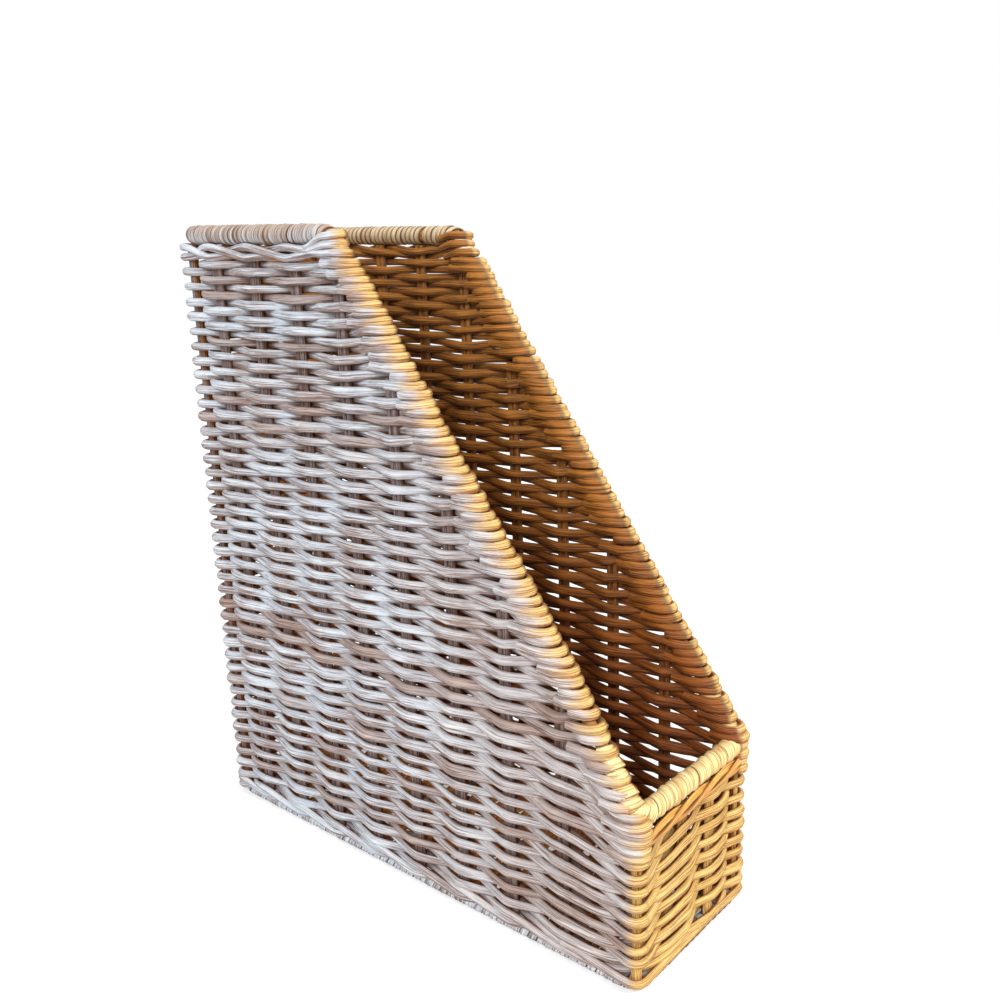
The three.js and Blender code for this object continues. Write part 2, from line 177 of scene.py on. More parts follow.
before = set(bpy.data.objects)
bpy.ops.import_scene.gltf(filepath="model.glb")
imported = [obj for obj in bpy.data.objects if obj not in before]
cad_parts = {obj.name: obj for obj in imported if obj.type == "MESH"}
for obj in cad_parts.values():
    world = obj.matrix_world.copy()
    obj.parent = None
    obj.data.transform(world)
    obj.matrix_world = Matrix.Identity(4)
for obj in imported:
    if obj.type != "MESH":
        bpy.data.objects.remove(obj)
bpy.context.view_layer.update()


def middle(node):
    """Centre of a CAD node's box."""
    low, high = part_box(node)
    return (low + high) / 2


def along_wall(outward):
    """Direction of a row on the wall that faces outward, clockwise seen from above."""
    return Vector((outward.y, -outward.x, 0))


def upright(node, before, after):
    """A stake or corner post, with the outward directions of the walls before and after it."""
    low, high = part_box(node)
    centre = (low + high) / 2
    half = min(high.x - low.x, high.y - low.y) / 2
    return Upright(node, Vector((centre.x, centre.y, 0)), before, after, half)


def stakes(wall, outward):
    """The stakes of one wall, in the order in which a row meets them."""
    nodes = [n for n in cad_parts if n.startswith(f"{wall}_stake_")]
    found = [upright(n, outward, outward) for n in nodes]
    return sorted(found, key=lambda u: u.place.dot(along_wall(outward)))


LEFT_STAKES, BACK_STAKES = stakes("left", LEFT), stakes("back", BACK)
RIGHT_STAKES, FRONT_STAKES = stakes("right", RIGHT), stakes("front", FRONT)
RING = [
    upright("corner_post_front_left", FRONT, LEFT),
    *LEFT_STAKES,
    upright("corner_post_back_left", LEFT, BACK),
    *BACK_STAKES,
    upright("corner_post_back_right", BACK, RIGHT),
    *RIGHT_STAKES,
    upright("corner_post_front_right", RIGHT, FRONT),
    *FRONT_STAKES,
]


def slope_line(node):
    """Foot, head and radius of a slope rod, from its box.

    Its ends are cut square, so its box is larger than its axis by what depends on the tilt, and the tilt
    is found in rounds."""
    low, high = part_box(node)
    radius = (high.x - low.x) / 2
    tilt = 0.0
    tries = 20
    for _ in range(tries):
        run = high.y - low.y - 2 * radius * math.cos(tilt)
        rise = high.z - low.z - 2 * radius * math.sin(tilt)
        tilt = math.atan2(run, rise)
    x = (low.x + high.x) / 2
    foot = Vector((x, low.y + radius * math.cos(tilt), low.z + radius * math.sin(tilt)))
    return foot, foot + Vector((0, run, rise)), radius


SLOPE_FOOT, SLOPE_HEAD, SLOPE_RADIUS = slope_line("slope_rod_left")
WEAVE_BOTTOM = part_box("foot_wale_left")[1].z + WEAVE_CLEARANCE
TOP_WALE_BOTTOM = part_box("top_wale_left")[0].z
FRONT_WALE_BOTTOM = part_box("front_wale")[0].z


def slope_y(z):
    """Where a slope rod's axis is at a height."""
    share = (z - SLOPE_FOOT.z) / (SLOPE_HEAD.z - SLOPE_FOOT.z)
    return SLOPE_FOOT.y + share * (SLOPE_HEAD.y - SLOPE_FOOT.y)


def slope_z(y):
    """How high a slope rod's axis is at a place along the side wall."""
    share = (y - SLOPE_FOOT.y) / (SLOPE_HEAD.y - SLOPE_FOOT.y)
    return SLOPE_FOOT.z + share * (SLOPE_HEAD.z - SLOPE_FOOT.z)


def smooth(value, start, end):
    """0 before start, 1 after end, smooth between."""
    t = min(1.0, max(0.0, (value - start) / (end - start)))
    return t * t * (3 - 2 * t)


class Bundle:
    """The paths of one piece, as points joined by edges, with what the sweep and the finish need of each."""

    def __init__(self, seed):
        self.rng = random.Random(seed)
        self.points = []
        self.runs = []
        self.tones = []
        self.edges = []

    def add(self, points, closed=False, tones=None):
        """Adds one strand, cut from anywhere in the rattan and of one tone, unless each point has its own."""
        first = len(self.points)
        run = self.rng.uniform(0, RATTAN_LENGTH)
        if tones is None:
            tones = [self.rng.random()] * len(points)
        last = None
        for point in points:
            if last is not None:
                run += (point.place - last).length
            last = point.place
            self.points.append(point)
            self.runs.append(run)
        self.tones += tones
        count = len(points)
        self.edges += [(first + i, first + i + 1) for i in range(count - 1)]
        if closed:
            self.edges.append((first + count - 1, first))

    def mesh(self, name):
        """The paths as a mesh of edges, whose attributes the sweep reads."""
        mesh = bpy.data.meshes.new(name)
        mesh.from_pydata([p.place for p in self.points], self.edges, [])
        for attribute, values in (
            ("facing", [p.facing for p in self.points]),
            ("outside", [p.outside for p in self.points]),
        ):
            data = mesh.attributes.new(attribute, "FLOAT_VECTOR", "POINT").data
            data.foreach_set("vector", [c for v in values for c in v])
        for attribute, values in (
            ("girth", [p.girth for p in self.points]),
            ("run", self.runs),
            ("tone", self.tones),
        ):
            mesh.attributes.new(attribute, "FLOAT", "POINT").data.foreach_set("value", values)
        return mesh


def outward_at(place):
    """The way the wall faces at a place, turning quickly at the corners."""
    corner = RING[0].place
    over_x = max(abs(place.x) - abs(corner.x) + CORNER_TURN, 0)
    over_y = max(abs(place.y) - abs(corner.y) + CORNER_TURN, 0)
    return Vector((math.copysign(over_x, place.x), math.copysign(over_y, place.y), 0)).normalized()


def trace(knots, closed=False, step=STRAND_STEP, squeeze=0.0):
    """Points of a smooth path through the knots; squeeze thins it midway, where strands cross.

    A closed path takes its outward directions from the walls, an open one from its knots."""
    points = []
    pairs = list(zip(knots, knots[1:] + knots[:1])) if closed else list(zip(knots, knots[1:]))
    for a, b in pairs:
        chord = (b.place - a.place).length
        turning = 1 - a.heading.dot(b.heading)
        pull = chord * (STRAIGHT_PULL_SHARE if turning < SLIGHT_TURN else 1 + BEND_PULL_SHARE * turning)
        count = max(2, round(chord / step))
        for i in range(count):
            t = i / count
            place = (
                a.place * (2 * t**3 - 3 * t**2 + 1)
                + a.heading * pull * (t**3 - 2 * t**2 + t)
                + b.place * (3 * t**2 - 2 * t**3)
                + b.heading * pull * (t**3 - t**2)
            )
            facing = a.facing.lerp(b.facing, t).normalized()
            outside = outward_at(place) if closed else a.outside.lerp(b.outside, t).normalized()
            girth = (a.girth + (b.girth - a.girth) * t) * (1 - squeeze * math.sin(math.pi * t) ** 2)
            points.append(Point(place, facing, outside, girth))
    if not closed:
        end = knots[-1]
        points.append(Point(end.place, end.facing, end.outside, end.girth))
    return points


def passing(post, side, z, thickness, girth=1.0, shift=0.0):
    """Knots of a strand where it passes an upright, outside it where side is 1 and inside where it is -1."""
    away = post.half + thickness / 2
    place = post.place + UP * z
    if post.before == post.after:
        outward = post.before
        place = place + along_wall(outward) * shift
        return [Knot(place + outward * side * away, along_wall(outward), outward, outward, girth)]
    diagonal = (post.before + post.after).normalized()
    if side < 0:
        heading = (along_wall(post.before) + along_wall(post.after)).normalized()
        return [Knot(place - diagonal * away, heading, diagonal, diagonal, girth)]
    return [
        Knot(place + outward * away, along_wall(outward), outward, outward, girth)
        for outward in (post.before, post.after)
    ]


def edge_rise(place, z):
    """How much higher a row lies near its slope rod; nothing on the front and back walls."""
    if abs(place.x) < abs(LEFT_STAKES[0].place.x) - WALL_TOLERANCE:
        return 0.0
    nearness = smooth(slope_y(z) + EDGE_RISE_RUN - place.y, 0, EDGE_RISE_RUN)
    top_loss = EDGE_RISE_TOP_LOSS * smooth(z, *DRIFT_FADES)
    return EDGE_RISE * nearness * smooth(z, *EDGE_RISE_GROWS) * (1 - top_loss)


def row_level(row):
    """Height of the middle of a row before it drifts."""
    return WEAVE_BOTTOM + (row + 0.5) * ROW_PITCH


def row_height(row, place, rng):
    """Height of a row at a place: rows drift together, and each strand lies a little its own way."""
    z = row_level(row)
    waves = Vector((place.x * DRIFT_WAVES.x, place.y * DRIFT_WAVES.y, z * DRIFT_WAVES.z))
    drift = noise.noise(waves) * ROW_DRIFT * smooth(z, *DRIFT_GROWS)
    drift *= 1 - smooth(z, *DRIFT_FADES)
    corner = RING[0].place
    nearness = 1 - smooth(math.hypot(place.x - corner.x, place.y - corner.y), 0, CORNER_DIP_REACH)
    dip = CORNER_DIP_SHARE * (z - WEAVE_BOTTOM) * nearness
    return z + drift + edge_rise(place, z) - dip + rng.uniform(-ROW_JITTER, ROW_JITTER)


def loop_face(outward):
    """The way that the finish takes the front of a loop to face: between outwards and the front. Its tip so
    takes the front colours, in part painted warm light.
    """
    return (outward * LOOP_OUTWARD_SHARE + FRONT).normalized()


def slope_loop(wall_x, outward, row, side, rng):
    """Knots of a row's end: along one face to the edge rod, round it, and back on the other face."""
    level = row_level(row)
    if level < SLOPE_FOOT.z:
        axis = Vector((wall_x, RING[0].place.y, 0))
        radius = RING[0].half
        stretch = 1.0
    else:
        there = Vector((wall_x, slope_y(level), 0))
        axis = Vector((wall_x, slope_y(level + edge_rise(there, level)), 0))
        radius = SLOPE_RADIUS
        stretch = LOOP_REACH_SHARE
    z = row_height(row, Vector((wall_x, axis.y, 0)), rng)
    away = radius + STRAND_THICKNESS / 2 + rng.uniform(0, LOOP_SLACK) / 2
    reach = away * stretch + rng.uniform(0, LOOP_SLACK)
    tail = rng.uniform(*LOOP_TAIL)
    sag = rng.uniform(*LOOP_SAG)
    near, far = outward * side, outward * -side
    # This face's finish leans to the front and takes front colours, in part painted warm light
    seen = (outward + FRONT * LOOP_FRONT_SHARE).normalized()
    centre = axis + UP * z
    steps = [
        (centre + near * away + BACK * LOOP_START, FRONT, near * side, outward),
        (centre + FRONT * reach, far, FRONT * side, loop_face(outward)),
        (centre + far * away + BACK * LOOP_START - UP * sag, BACK, far * side, seen),
        (centre + far * (away - LOOP_PRESS) + BACK * tail - UP * sag, BACK, far * side, outward),
    ]
    return [Knot(*step, girth) for step, girth in zip(steps, LOOP_GIRTHS)]


def turned_round(knots):
    """The same path, run the other way."""
    return [k._replace(heading=-k.heading) for k in reversed(knots)]


def side_of(index, row):
    """Plain weave: a row passes every other upright outside, and the next row the others."""
    return 1 if (index + row) % 2 == 0 else -1


def weave_past(indices, row, girth, rng):
    """Knots of a row past the uprights numbered, over and under in turn, near the girth given."""
    girth += rng.uniform(-GIRTH_SPREAD, GIRTH_SPREAD)
    knots = []
    for index in indices:
        post = RING[index]
        z = row_height(row, post.place, rng)
        shift = rng.uniform(-PASS_SHIFT, PASS_SHIFT)
        knots += passing(post, side_of(index, row), z, STRAND_THICKNESS, girth, shift)
    return knots


def ring_row(bundle, row):
    """A closed row round all four walls."""
    knots = weave_past(range(len(RING)), row, RING_GIRTH, bundle.rng)
    bundle.add(trace(knots, closed=True, squeeze=RING_SQUEEZE_SHARE), closed=True)


def met_uprights(row):
    """Numbers of the uprights that an open row passes, from the left slope rod round to the right one."""
    edge = max(slope_y(row_level(row)), RING[0].place.y) + LOOP_CLEARANCE
    return [i for i, post in enumerate(RING) if post.place.y > edge]


def open_row(bundle, row):
    """A row above the front rim: from one slope rod round the back to the other, slimmer further up."""
    rng = bundle.rng
    met = met_uprights(row)
    slimming = smooth(WEAVE_BOTTOM + row * ROW_PITCH, SLOPE_FOOT.z, SLOPE_HEAD.z)
    knots = weave_past(met, row, LOW_GIRTH + (HIGH_GIRTH - LOW_GIRTH) * slimming, rng)
    left_side, right_side = side_of(met[0] - 1, row), side_of(met[-1] + 1, row)
    start = slope_loop(LEFT_STAKES[0].place.x, LEFT, row, left_side, rng)
    end = slope_loop(RIGHT_STAKES[0].place.x, RIGHT, row, right_side, rng)
    bundle.add(trace(turned_round(start) + knots + end, squeeze=OPEN_SQUEEZE_SHARE))


def new_tree(name, inputs):
    """An empty Geometry Nodes tree with a geometry socket each way and named inputs."""
    tree = bpy.data.node_groups.new(name, "GeometryNodeTree")
    tree.interface.new_socket("Geometry", in_out="INPUT", socket_type="NodeSocketGeometry")
    for socket, kind in inputs:
        tree.interface.new_socket(socket, in_out="INPUT", socket_type=kind)
    tree.interface.new_socket("Geometry", in_out="OUTPUT", socket_type="NodeSocketGeometry")
    return tree


def named(tree, attribute, kind):
    """An attribute of the path, in Geometry Nodes."""
    node = tree.nodes.new("GeometryNodeInputNamedAttribute")
    node.data_type = kind
    node.inputs["Name"].default_value = attribute
    return node.outputs["Attribute"]


def feed(tree, pairs):
    """Gives each input its value, which may be a number, a colour or another node's output."""
    for socket, value in pairs:
        if isinstance(value, bpy.types.NodeSocket):
            tree.links.new(value, socket)
        else:
            socket.default_value = value


def calc(tree, operation, a, b=0.0):
    """A math node."""
    node = tree.nodes.new("ShaderNodeMath")
    node.operation = operation
    feed(tree, zip(node.inputs, (a, b)))
    return node.outputs[0]


def product(tree, value, *factors):
    """The value times all the factors."""
    for factor in factors:
        value = calc(tree, "MULTIPLY", value, factor)
    return value


def weighted_sum(tree, value, *terms):
    """The value plus each term times its weight."""
    for term, weight in terms:
        value = calc(tree, "ADD", value, calc(tree, "MULTIPLY", term, weight))
    return value


def round_profile(tree, sizes):
    """A circle of radius 1, before it is stretched to Thickness across the wall and Height up it."""
    circle = tree.nodes.new("GeometryNodeCurvePrimitiveCircle")
    tree.links.new(sizes.outputs["Sides"], circle.inputs["Resolution"])
    circle.inputs["Radius"].default_value = 1.0
    return circle.outputs["Curve"]


def flat_profile(tree, sizes):
    """A square of half width 1 with rounded corners, before it is stretched."""
    box = tree.nodes.new("GeometryNodeCurvePrimitiveQuadrilateral")
    box.inputs["Width"].default_value = 2.0
    box.inputs["Height"].default_value = 2.0
    fillet = tree.nodes.new("GeometryNodeFilletCurve")
    tree.links.new(box.outputs["Curve"], fillet.inputs["Curve"])
    fillet.mode = "POLY"
    tree.links.new(sizes.outputs["Sides"], fillet.inputs["Count"])
    fillet.inputs["Radius"].default_value = CANE_ROUNDING_SHARE
    return fillet.outputs["Curve"]


SWEEP_INPUTS = (
    ("Thickness", "NodeSocketFloat"),
    ("Height", "NodeSocketFloat"),
    ("Sides", "NodeSocketInt"),
    ("Waver", "NodeSocketFloat"),
    ("Unevenness", "NodeSocketFloat"),
    ("Seed", "NodeSocketFloat"),
    ("Material", "NodeSocketMaterial"),
)


def wavering(tree, sizes, curve):
    """The curve, moved off its path here and there by up to half of Waver."""
    nodes, links = tree.nodes, tree.links
    place = nodes.new("GeometryNodeInputPosition")
    waver = nodes.new("ShaderNodeTexNoise")
    waver.noise_dimensions = "4D"
    waver.inputs["Scale"].default_value = WAVER_WAVES
    links.new(place.outputs["Position"], waver.inputs["Vector"])
    links.new(sizes.outputs["Seed"], waver.inputs["W"])
    centred = nodes.new("ShaderNodeVectorMath")
    centred.operation = "SUBTRACT"
    feed(tree, zip(centred.inputs, (waver.outputs["Color"], (0.5, 0.5, 0.5))))
    swing = nodes.new("ShaderNodeVectorMath")
    swing.operation = "SCALE"
    links.new(centred.outputs[0], swing.inputs[0])
    links.new(sizes.outputs["Waver"], swing.inputs["Scale"])
    moved = nodes.new("GeometryNodeSetPosition")
    links.new(curve, moved.inputs["Geometry"])
    links.new(swing.outputs[0], moved.inputs["Offset"])
    return moved.outputs["Geometry"]


def swelling(tree, sizes):
    """Girth along the strand: the path's own, a little thicker and thinner by Unevenness."""
    swell = tree.nodes.new("ShaderNodeTexNoise")
    swell.noise_dimensions = "1D"
    swell.inputs["Scale"].default_value = SWELL_WAVES
    tree.links.new(named(tree, "run", "FLOAT"), swell.inputs["W"])
    centred = calc(tree, "SUBTRACT", swell.outputs["Fac"], 0.5)
    uneven = calc(tree, "MULTIPLY", centred, sizes.outputs["Unevenness"])
    return calc(tree, "MULTIPLY", named(tree, "girth", "FLOAT"), calc(tree, "ADD", uneven, 1.0))


def sweep_tree(name, profile):
    """Tree that turns the edge paths of a bundle into strands of the given section."""
    tree = new_tree(name, SWEEP_INPUTS)
    nodes, links = tree.nodes, tree.links
    sizes = nodes.new("NodeGroupInput")
    curve = nodes.new("GeometryNodeMeshToCurve")
    links.new(sizes.outputs["Geometry"], curve.inputs["Mesh"])

    normal = nodes.new("GeometryNodeSetCurveNormal")
    normal.mode = "FREE"
    links.new(wavering(tree, sizes, curve.outputs["Curve"]), normal.inputs["Curve"])
    links.new(named(tree, "facing", "FLOAT_VECTOR"), normal.inputs["Normal"])

    keep = nodes.new("GeometryNodeStoreNamedAttribute")
    keep.data_type = "FLOAT_VECTOR"
    keep.inputs["Name"].default_value = "section"
    links.new(profile(tree, sizes), keep.inputs["Geometry"])
    links.new(nodes.new("GeometryNodeInputPosition").outputs["Position"], keep.inputs["Value"])
    stretch = nodes.new("ShaderNodeCombineXYZ")
    links.new(calc(tree, "MULTIPLY", sizes.outputs["Thickness"], 0.5), stretch.inputs["X"])
    links.new(calc(tree, "MULTIPLY", sizes.outputs["Height"], 0.5), stretch.inputs["Y"])
    shaped = nodes.new("GeometryNodeTransform")
    links.new(keep.outputs["Geometry"], shaped.inputs["Geometry"])
    links.new(stretch.outputs["Vector"], shaped.inputs["Scale"])

    swept = nodes.new("GeometryNodeCurveToMesh")
    links.new(normal.outputs["Curve"], swept.inputs["Curve"])
    links.new(shaped.outputs["Geometry"], swept.inputs["Profile Curve"])
    links.new(swelling(tree, sizes), swept.inputs["Scale"])
    swept.inputs["Fill Caps"].default_value = True

    real = nodes.new("GeometryNodeRealizeInstances")
    links.new(swept.outputs["Mesh"], real.inputs["Geometry"])
    finish = nodes.new("GeometryNodeSetMaterial")
    links.new(real.outputs["Geometry"], finish.inputs["Geometry"])
    links.new(sizes.outputs["Material"], finish.inputs["Material"])
    out = nodes.new("NodeGroupOutput")
    links.new(finish.outputs["Geometry"], out.inputs["Geometry"])
    return tree


STRAND_TREE = sweep_tree("round_strand", round_profile)
CANE_TREE = sweep_tree("flat_cane", flat_profile)


def set_inputs(modifier, values):
    """Sets a modifier's inputs by their sockets' identifiers."""
    for item in modifier.node_group.interface.items_tree:
        if item.item_type == "SOCKET" and item.in_out == "INPUT" and item.name in values:
            modifier[item.identifier] = values[item.name]


def add_object(name, data):
    """A new object in the scene."""
    thing = bpy.data.objects.new(name, data)
    bpy.context.scene.collection.objects.link(thing)
    return thing


def sweep(name, bundle, tree, material, slot, stands_for, **sizes):
    """Sweeps a bundle into a finished piece that rides on the basket and stands for the CAD nodes named."""
    path = add_object(name + ".path", bundle.mesh(name + ".path"))
    modifier = path.modifiers.new("sweep", "NODES")
    modifier.node_group = tree
    values = {"Waver": 0.0, "Unevenness": 0.0, "Seed": 1.0, "Material": material, **sizes}
    set_inputs(modifier, values)
    evaluated = path.evaluated_get(bpy.context.evaluated_depsgraph_get())
    mesh = bpy.data.meshes.new_from_object(evaluated)
    mesh.name = name
    path.modifiers.remove(modifier)
    bpy.data.objects.remove(path)
    piece = add_object(name, mesh)
    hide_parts(*stands_for)
    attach(piece, BODY)


def round_section(diameter):
    """Sizes of a round rod for the sweep."""
    return dict(Thickness=diameter, Height=diameter, Sides=STRAND_SIDES)


def cane_section(width):
    """Sizes of a binding's flat cane for the sweep."""
    return dict(Thickness=CANE_THICKNESS, Height=width, Sides=CANE_CORNER_STEPS)


def mix(tree, factor, a, b, blend="MIX"):
    """A colour mix of a and b."""
    node = tree.nodes.new("ShaderNodeMix")
    node.data_type = "RGBA"
    node.blend_type = blend
    feed(tree, ((node.inputs[0], factor), (node.inputs[6], a), (node.inputs[7], b)))
    return node.outputs[2]


def ramp(tree, value, low, high, to_low=0.0, to_high=1.0):
    """Maps a value from low..high to to_low..to_high, smooth and clamped."""
    node = tree.nodes.new("ShaderNodeMapRange")
    node.interpolation_type = "SMOOTHSTEP"
    tree.links.new(value, node.inputs["Value"])
    for socket, number in (("From Min", low), ("From Max", high), ("To Min", to_low), ("To Max", to_high)):
        node.inputs[socket].default_value = number
    return node.outputs["Result"]


def surface_attribute(tree, name, output):
    """An attribute that the sweep left on the strand, in a material."""
    node = tree.nodes.new("ShaderNodeAttribute")
    node.attribute_name = name
    return node.outputs[output]


def parts(tree, vector):
    """The X, Y and Z of a vector."""
    node = tree.nodes.new("ShaderNodeSeparateXYZ")
    tree.links.new(vector, node.inputs[0])
    return node.outputs


def dot(tree, a, b):
    """How far two directions agree, from -1 to 1."""
    node = tree.nodes.new("ShaderNodeVectorMath")
    node.operation = "DOT_PRODUCT"
    feed(tree, zip(node.inputs, (a, b)))
    return node.outputs["Value"]


def noise_of(tree, vector, scale, detail=3.0, rough=0.55):
    """Noise from 0 to 1 that varies with a vector."""
    node = tree.nodes.new("ShaderNodeTexNoise")
    tree.links.new(vector, node.inputs["Vector"])
    node.inputs["Scale"].default_value = scale
    node.inputs["Detail"].default_value = detail
    node.inputs["Roughness"].default_value = rough
    return node.outputs["Fac"]


def rgb(red, green, blue):
    """A colour written as sRGB 0 to 255, as Blender's linear values."""
    channels = []
    for value in (red, green, blue):
        v = value / 255
        channels.append(v / 12.92 if v <= 0.04045 else ((v + 0.055) / 1.055) ** 2.4)
    return (*channels, 1.0)


# Grain: waves of its noises per metre along a strand, and round it as shares of the finish's own grain
GRAIN_WAVES, FIBRE_WAVES, COARSE_WAVES = 48.0, 120.0, 26.0
FIBRE_ROUND_SHARE, COARSE_ROUND_SHARE = 2.2, 0.3
PATCH_WAVES, PORE_WAVES = 30.0, 1500.0
GRAIN_LIGHT = (0.4, 0.6)
GRAIN_ROUGH = (0.3, 0.7)
ROUGHNESS_SPREAD = (0.12, -0.1)
# How much lighter the grain turns on faces that look up: a painted highlight on top
PAINTED_TOP_HIGHLIGHT = 0.06
HAIRLINES, HAIRLINE_SHARE = (0.3, 0.42), 0.65
BUMP_HEIGHT = 0.4 * MM
FIBRE_BUMP, PORE_BUMP = 0.5, 0.2

# How squarely a face looks outwards, and a wall to the front, where the finish changes: from -1 to 1
OUTWARD_TURN = (-0.3, 0.25)
# Past this turn a face takes the front colours and thinner wash, in part painted warm light
FRONT_TURN = (0.2, 0.8)

# Where the finish changes through the wall, out from its middle, and along the basket and up its inside
BOUND_DEPTH = (-2 * MM, 1.5 * MM)
# Behind the stakes the strands take painted shade, from this depth
SHADOW_DEPTH = (-3.2 * MM, -0.2 * MM)
# Along the basket the tints turn from cool at the back to warm at the front: painted light
FRONT_STRETCH = (-130 * MM, 50 * MM)
# Low inside the basket the colours darken: painted shade
LOW_INSIDE = (60 * MM, 260 * MM)

# Whitewash: weights of the noises it is brushed by, how thick it lies, and where it is worn
WASH_GRAIN, WASH_PATCHES, WASH_COARSE, WASH_FIBRES = 1.1, 0.5, 0.45, 0.5
WASH_BRUSHED, WASH_THICKNESS = (1.17, 1.35), (0.1, 0.96)
# Thinner wash on the front wall: partly less whitewash, partly painted warm light
WASH_ON_FRONT_WALL = 0.08
# Behind the stakes the wash thins: partly where the brush reaches less, partly painted shade
WASH_DEPTH, WASH_BEHIND_STAKES = (-2.6 * MM, 0.6 * MM), 0.15
WORN_TONES, WORN_WASH = (0.7, 0.98), 0.35
WASH_NEAR_FRONT = 0.78
WASH_STREAKS = (0.35, 0.65)

# Tints: of a pair, the first is for the back of the basket and the second for near its front; from back to
# front they paint cool light turning warm
AGED_TONES, AGED_SHARE = (0.1, 0.9), 0.6
AGED = rgb(222, 196, 170)
# Multiplied in low inside the basket: painted shade
PAINTED_SHADE_LOW_INSIDE = rgb(222, 186, 160)
SHADOW = rgb(112, 86, 80), rgb(78, 44, 26)
CRACK = rgb(108, 90, 84), rgb(104, 72, 52)
THIN_WASH = rgb(200, 211, 226), rgb(206, 204, 208)
THICK_WASH = rgb(238, 246, 252), rgb(242, 240, 240)
SEAM_BROWN = rgb(88, 60, 38)
SEAM_START, BOUND_SEAM_START = 0.8, 0.6


def wall_depth(tree, axes):
    """How far out of the wall's middle a place lies, from its X and Y: negative towards the inside."""
    corner = RING[0].place
    across = calc(tree, "SUBTRACT", calc(tree, "ABSOLUTE", axes["X"]), abs(corner.x))
    along = calc(tree, "SUBTRACT", calc(tree, "ABSOLUTE", axes["Y"]), abs(corner.y))
    return calc(tree, "MAXIMUM", across, along)


class Surface:
    """What a rattan finish reads of the strand that it covers, as sockets of one material's tree."""

    def __init__(self, tree, grain_round, bound):
        self.tree = tree
        self.run = surface_attribute(tree, "run", "Fac")
        self.tone = surface_attribute(tree, "tone", "Fac")
        self.section = parts(tree, surface_attribute(tree, "section", "Vector"))
        self.grain = self.noise_along(GRAIN_WAVES, grain_round, detail=4.0, rough=0.65)
        self.fibres = self.noise_along(FIBRE_WAVES, grain_round * FIBRE_ROUND_SHARE, detail=2.0, rough=0.6)
        self.coarse = self.noise_along(COARSE_WAVES, grain_round * COARSE_ROUND_SHARE, detail=2.0)
        place = tree.nodes.new("ShaderNodeTexCoord").outputs["Object"]
        self.patches = noise_of(tree, place, PATCH_WAVES)
        self.pores = noise_of(tree, place, PORE_WAVES, detail=2.0)

        axes = parts(tree, place)
        self.height = axes["Z"]
        self.depth = wall_depth(tree, axes)
        # Share towards the front, where the tints turn from cool to warm: painted light
        self.warm_light_toward_front = ramp(tree, axes["Y"], *FRONT_STRETCH, 1.0, 0.0)
        normal = tree.nodes.new("ShaderNodeNewGeometry").outputs["Normal"]
        outside = surface_attribute(tree, "outside", "Vector")
        self.upward = dot(tree, normal, (0.0, 0.0, 1.0))
        self.warm_lit_frontness = ramp(tree, dot(tree, outside, (0.0, -1.0, 0.0)), *FRONT_TURN)
        if bound:
            self.outward = ramp(tree, self.depth, *BOUND_DEPTH)
        else:
            self.outward = ramp(tree, dot(tree, normal, outside), *OUTWARD_TURN)

    def noise_along(self, run_waves, round_waves, **kind):
        """Noise drawn out along the strand."""
        lay = self.tree.nodes.new("ShaderNodeCombineXYZ")
        for axis, value, waves in (
            ("X", self.run, run_waves),
            ("Y", self.section["X"], round_waves),
            ("Z", self.section["Y"], round_waves),
        ):
            self.tree.links.new(calc(self.tree, "MULTIPLY", value, waves), lay.inputs[axis])
        return noise_of(self.tree, lay.outputs["Vector"], 1.0, **kind)

    def bare(self, side, front, inside, recess):
        """Colour of the rattan, with painted shade behind the stakes and low inside the basket, and a painted
        highlight on faces that look up.
        """
        tree = self.tree
        # Faces that look up turn lighter: a painted highlight on top of each strand
        light = ramp(tree, weighted_sum(tree, self.grain, (self.upward, PAINTED_TOP_HIGHLIGHT)), *GRAIN_LIGHT)
        age = ramp(tree, self.tone, *AGED_TONES, 0.0, AGED_SHARE)
        aged = mix(tree, age, mix(tree, light, *side), AGED, "MULTIPLY")
        # Front wall colours: partly the rattan less washed, partly painted warm light
        body = mix(tree, self.warm_lit_frontness, aged, mix(tree, light, *front))
        if recess:
            # Painted shade on the strands behind the stakes
            behind = ramp(tree, self.depth, *SHADOW_DEPTH, recess, 0.0)
            body = mix(tree, behind, body, mix(tree, self.warm_light_toward_front, *SHADOW), "MULTIPLY")
        # Darker low inside the basket: painted shade
        low = ramp(tree, self.height, *LOW_INSIDE, 1.0, 0.0)
        inner = mix(tree, low, mix(tree, light, *inside), PAINTED_SHADE_LOW_INSIDE, "MULTIPLY")
        return mix(tree, self.outward, inner, body)

    def coat(self, wash_share, wash_up_and_top_light, recess):
        """How thick the whitewash lies, brushed along the grain, and changed on faces that look up, partly as
        painted light from above.
        """
        tree = self.tree
        # On faces that look up the wash changes: partly dry brushing, partly painted light from above
        brushed = weighted_sum(
            tree,
            calc(tree, "MULTIPLY", self.upward, wash_up_and_top_light),
            (self.grain, WASH_GRAIN),
            (self.patches, WASH_PATCHES),
            (self.coarse, WASH_COARSE),
            (self.fibres, WASH_FIBRES),
        )
        coat = ramp(tree, brushed, *WASH_BRUSHED, *WASH_THICKNESS)
        # Thinner on the front wall: partly less whitewash, partly painted warm light
        coat = product(tree, coat, ramp(tree, self.warm_lit_frontness, 0.0, 1.0, 1.0, WASH_ON_FRONT_WALL))
        # Thinner behind the stakes: partly where the brush reaches less, partly painted shade
        if recess:
            coat = product(tree, coat, ramp(tree, self.depth, *WASH_DEPTH, WASH_BEHIND_STAKES, 1.0))
        worn = ramp(tree, self.tone, *WORN_TONES, 1.0, WORN_WASH)
        near_front = ramp(tree, self.warm_light_toward_front, 0.0, 1.0, 1.0, WASH_NEAR_FRONT)
        return product(tree, coat, worn, near_front, self.outward, wash_share)

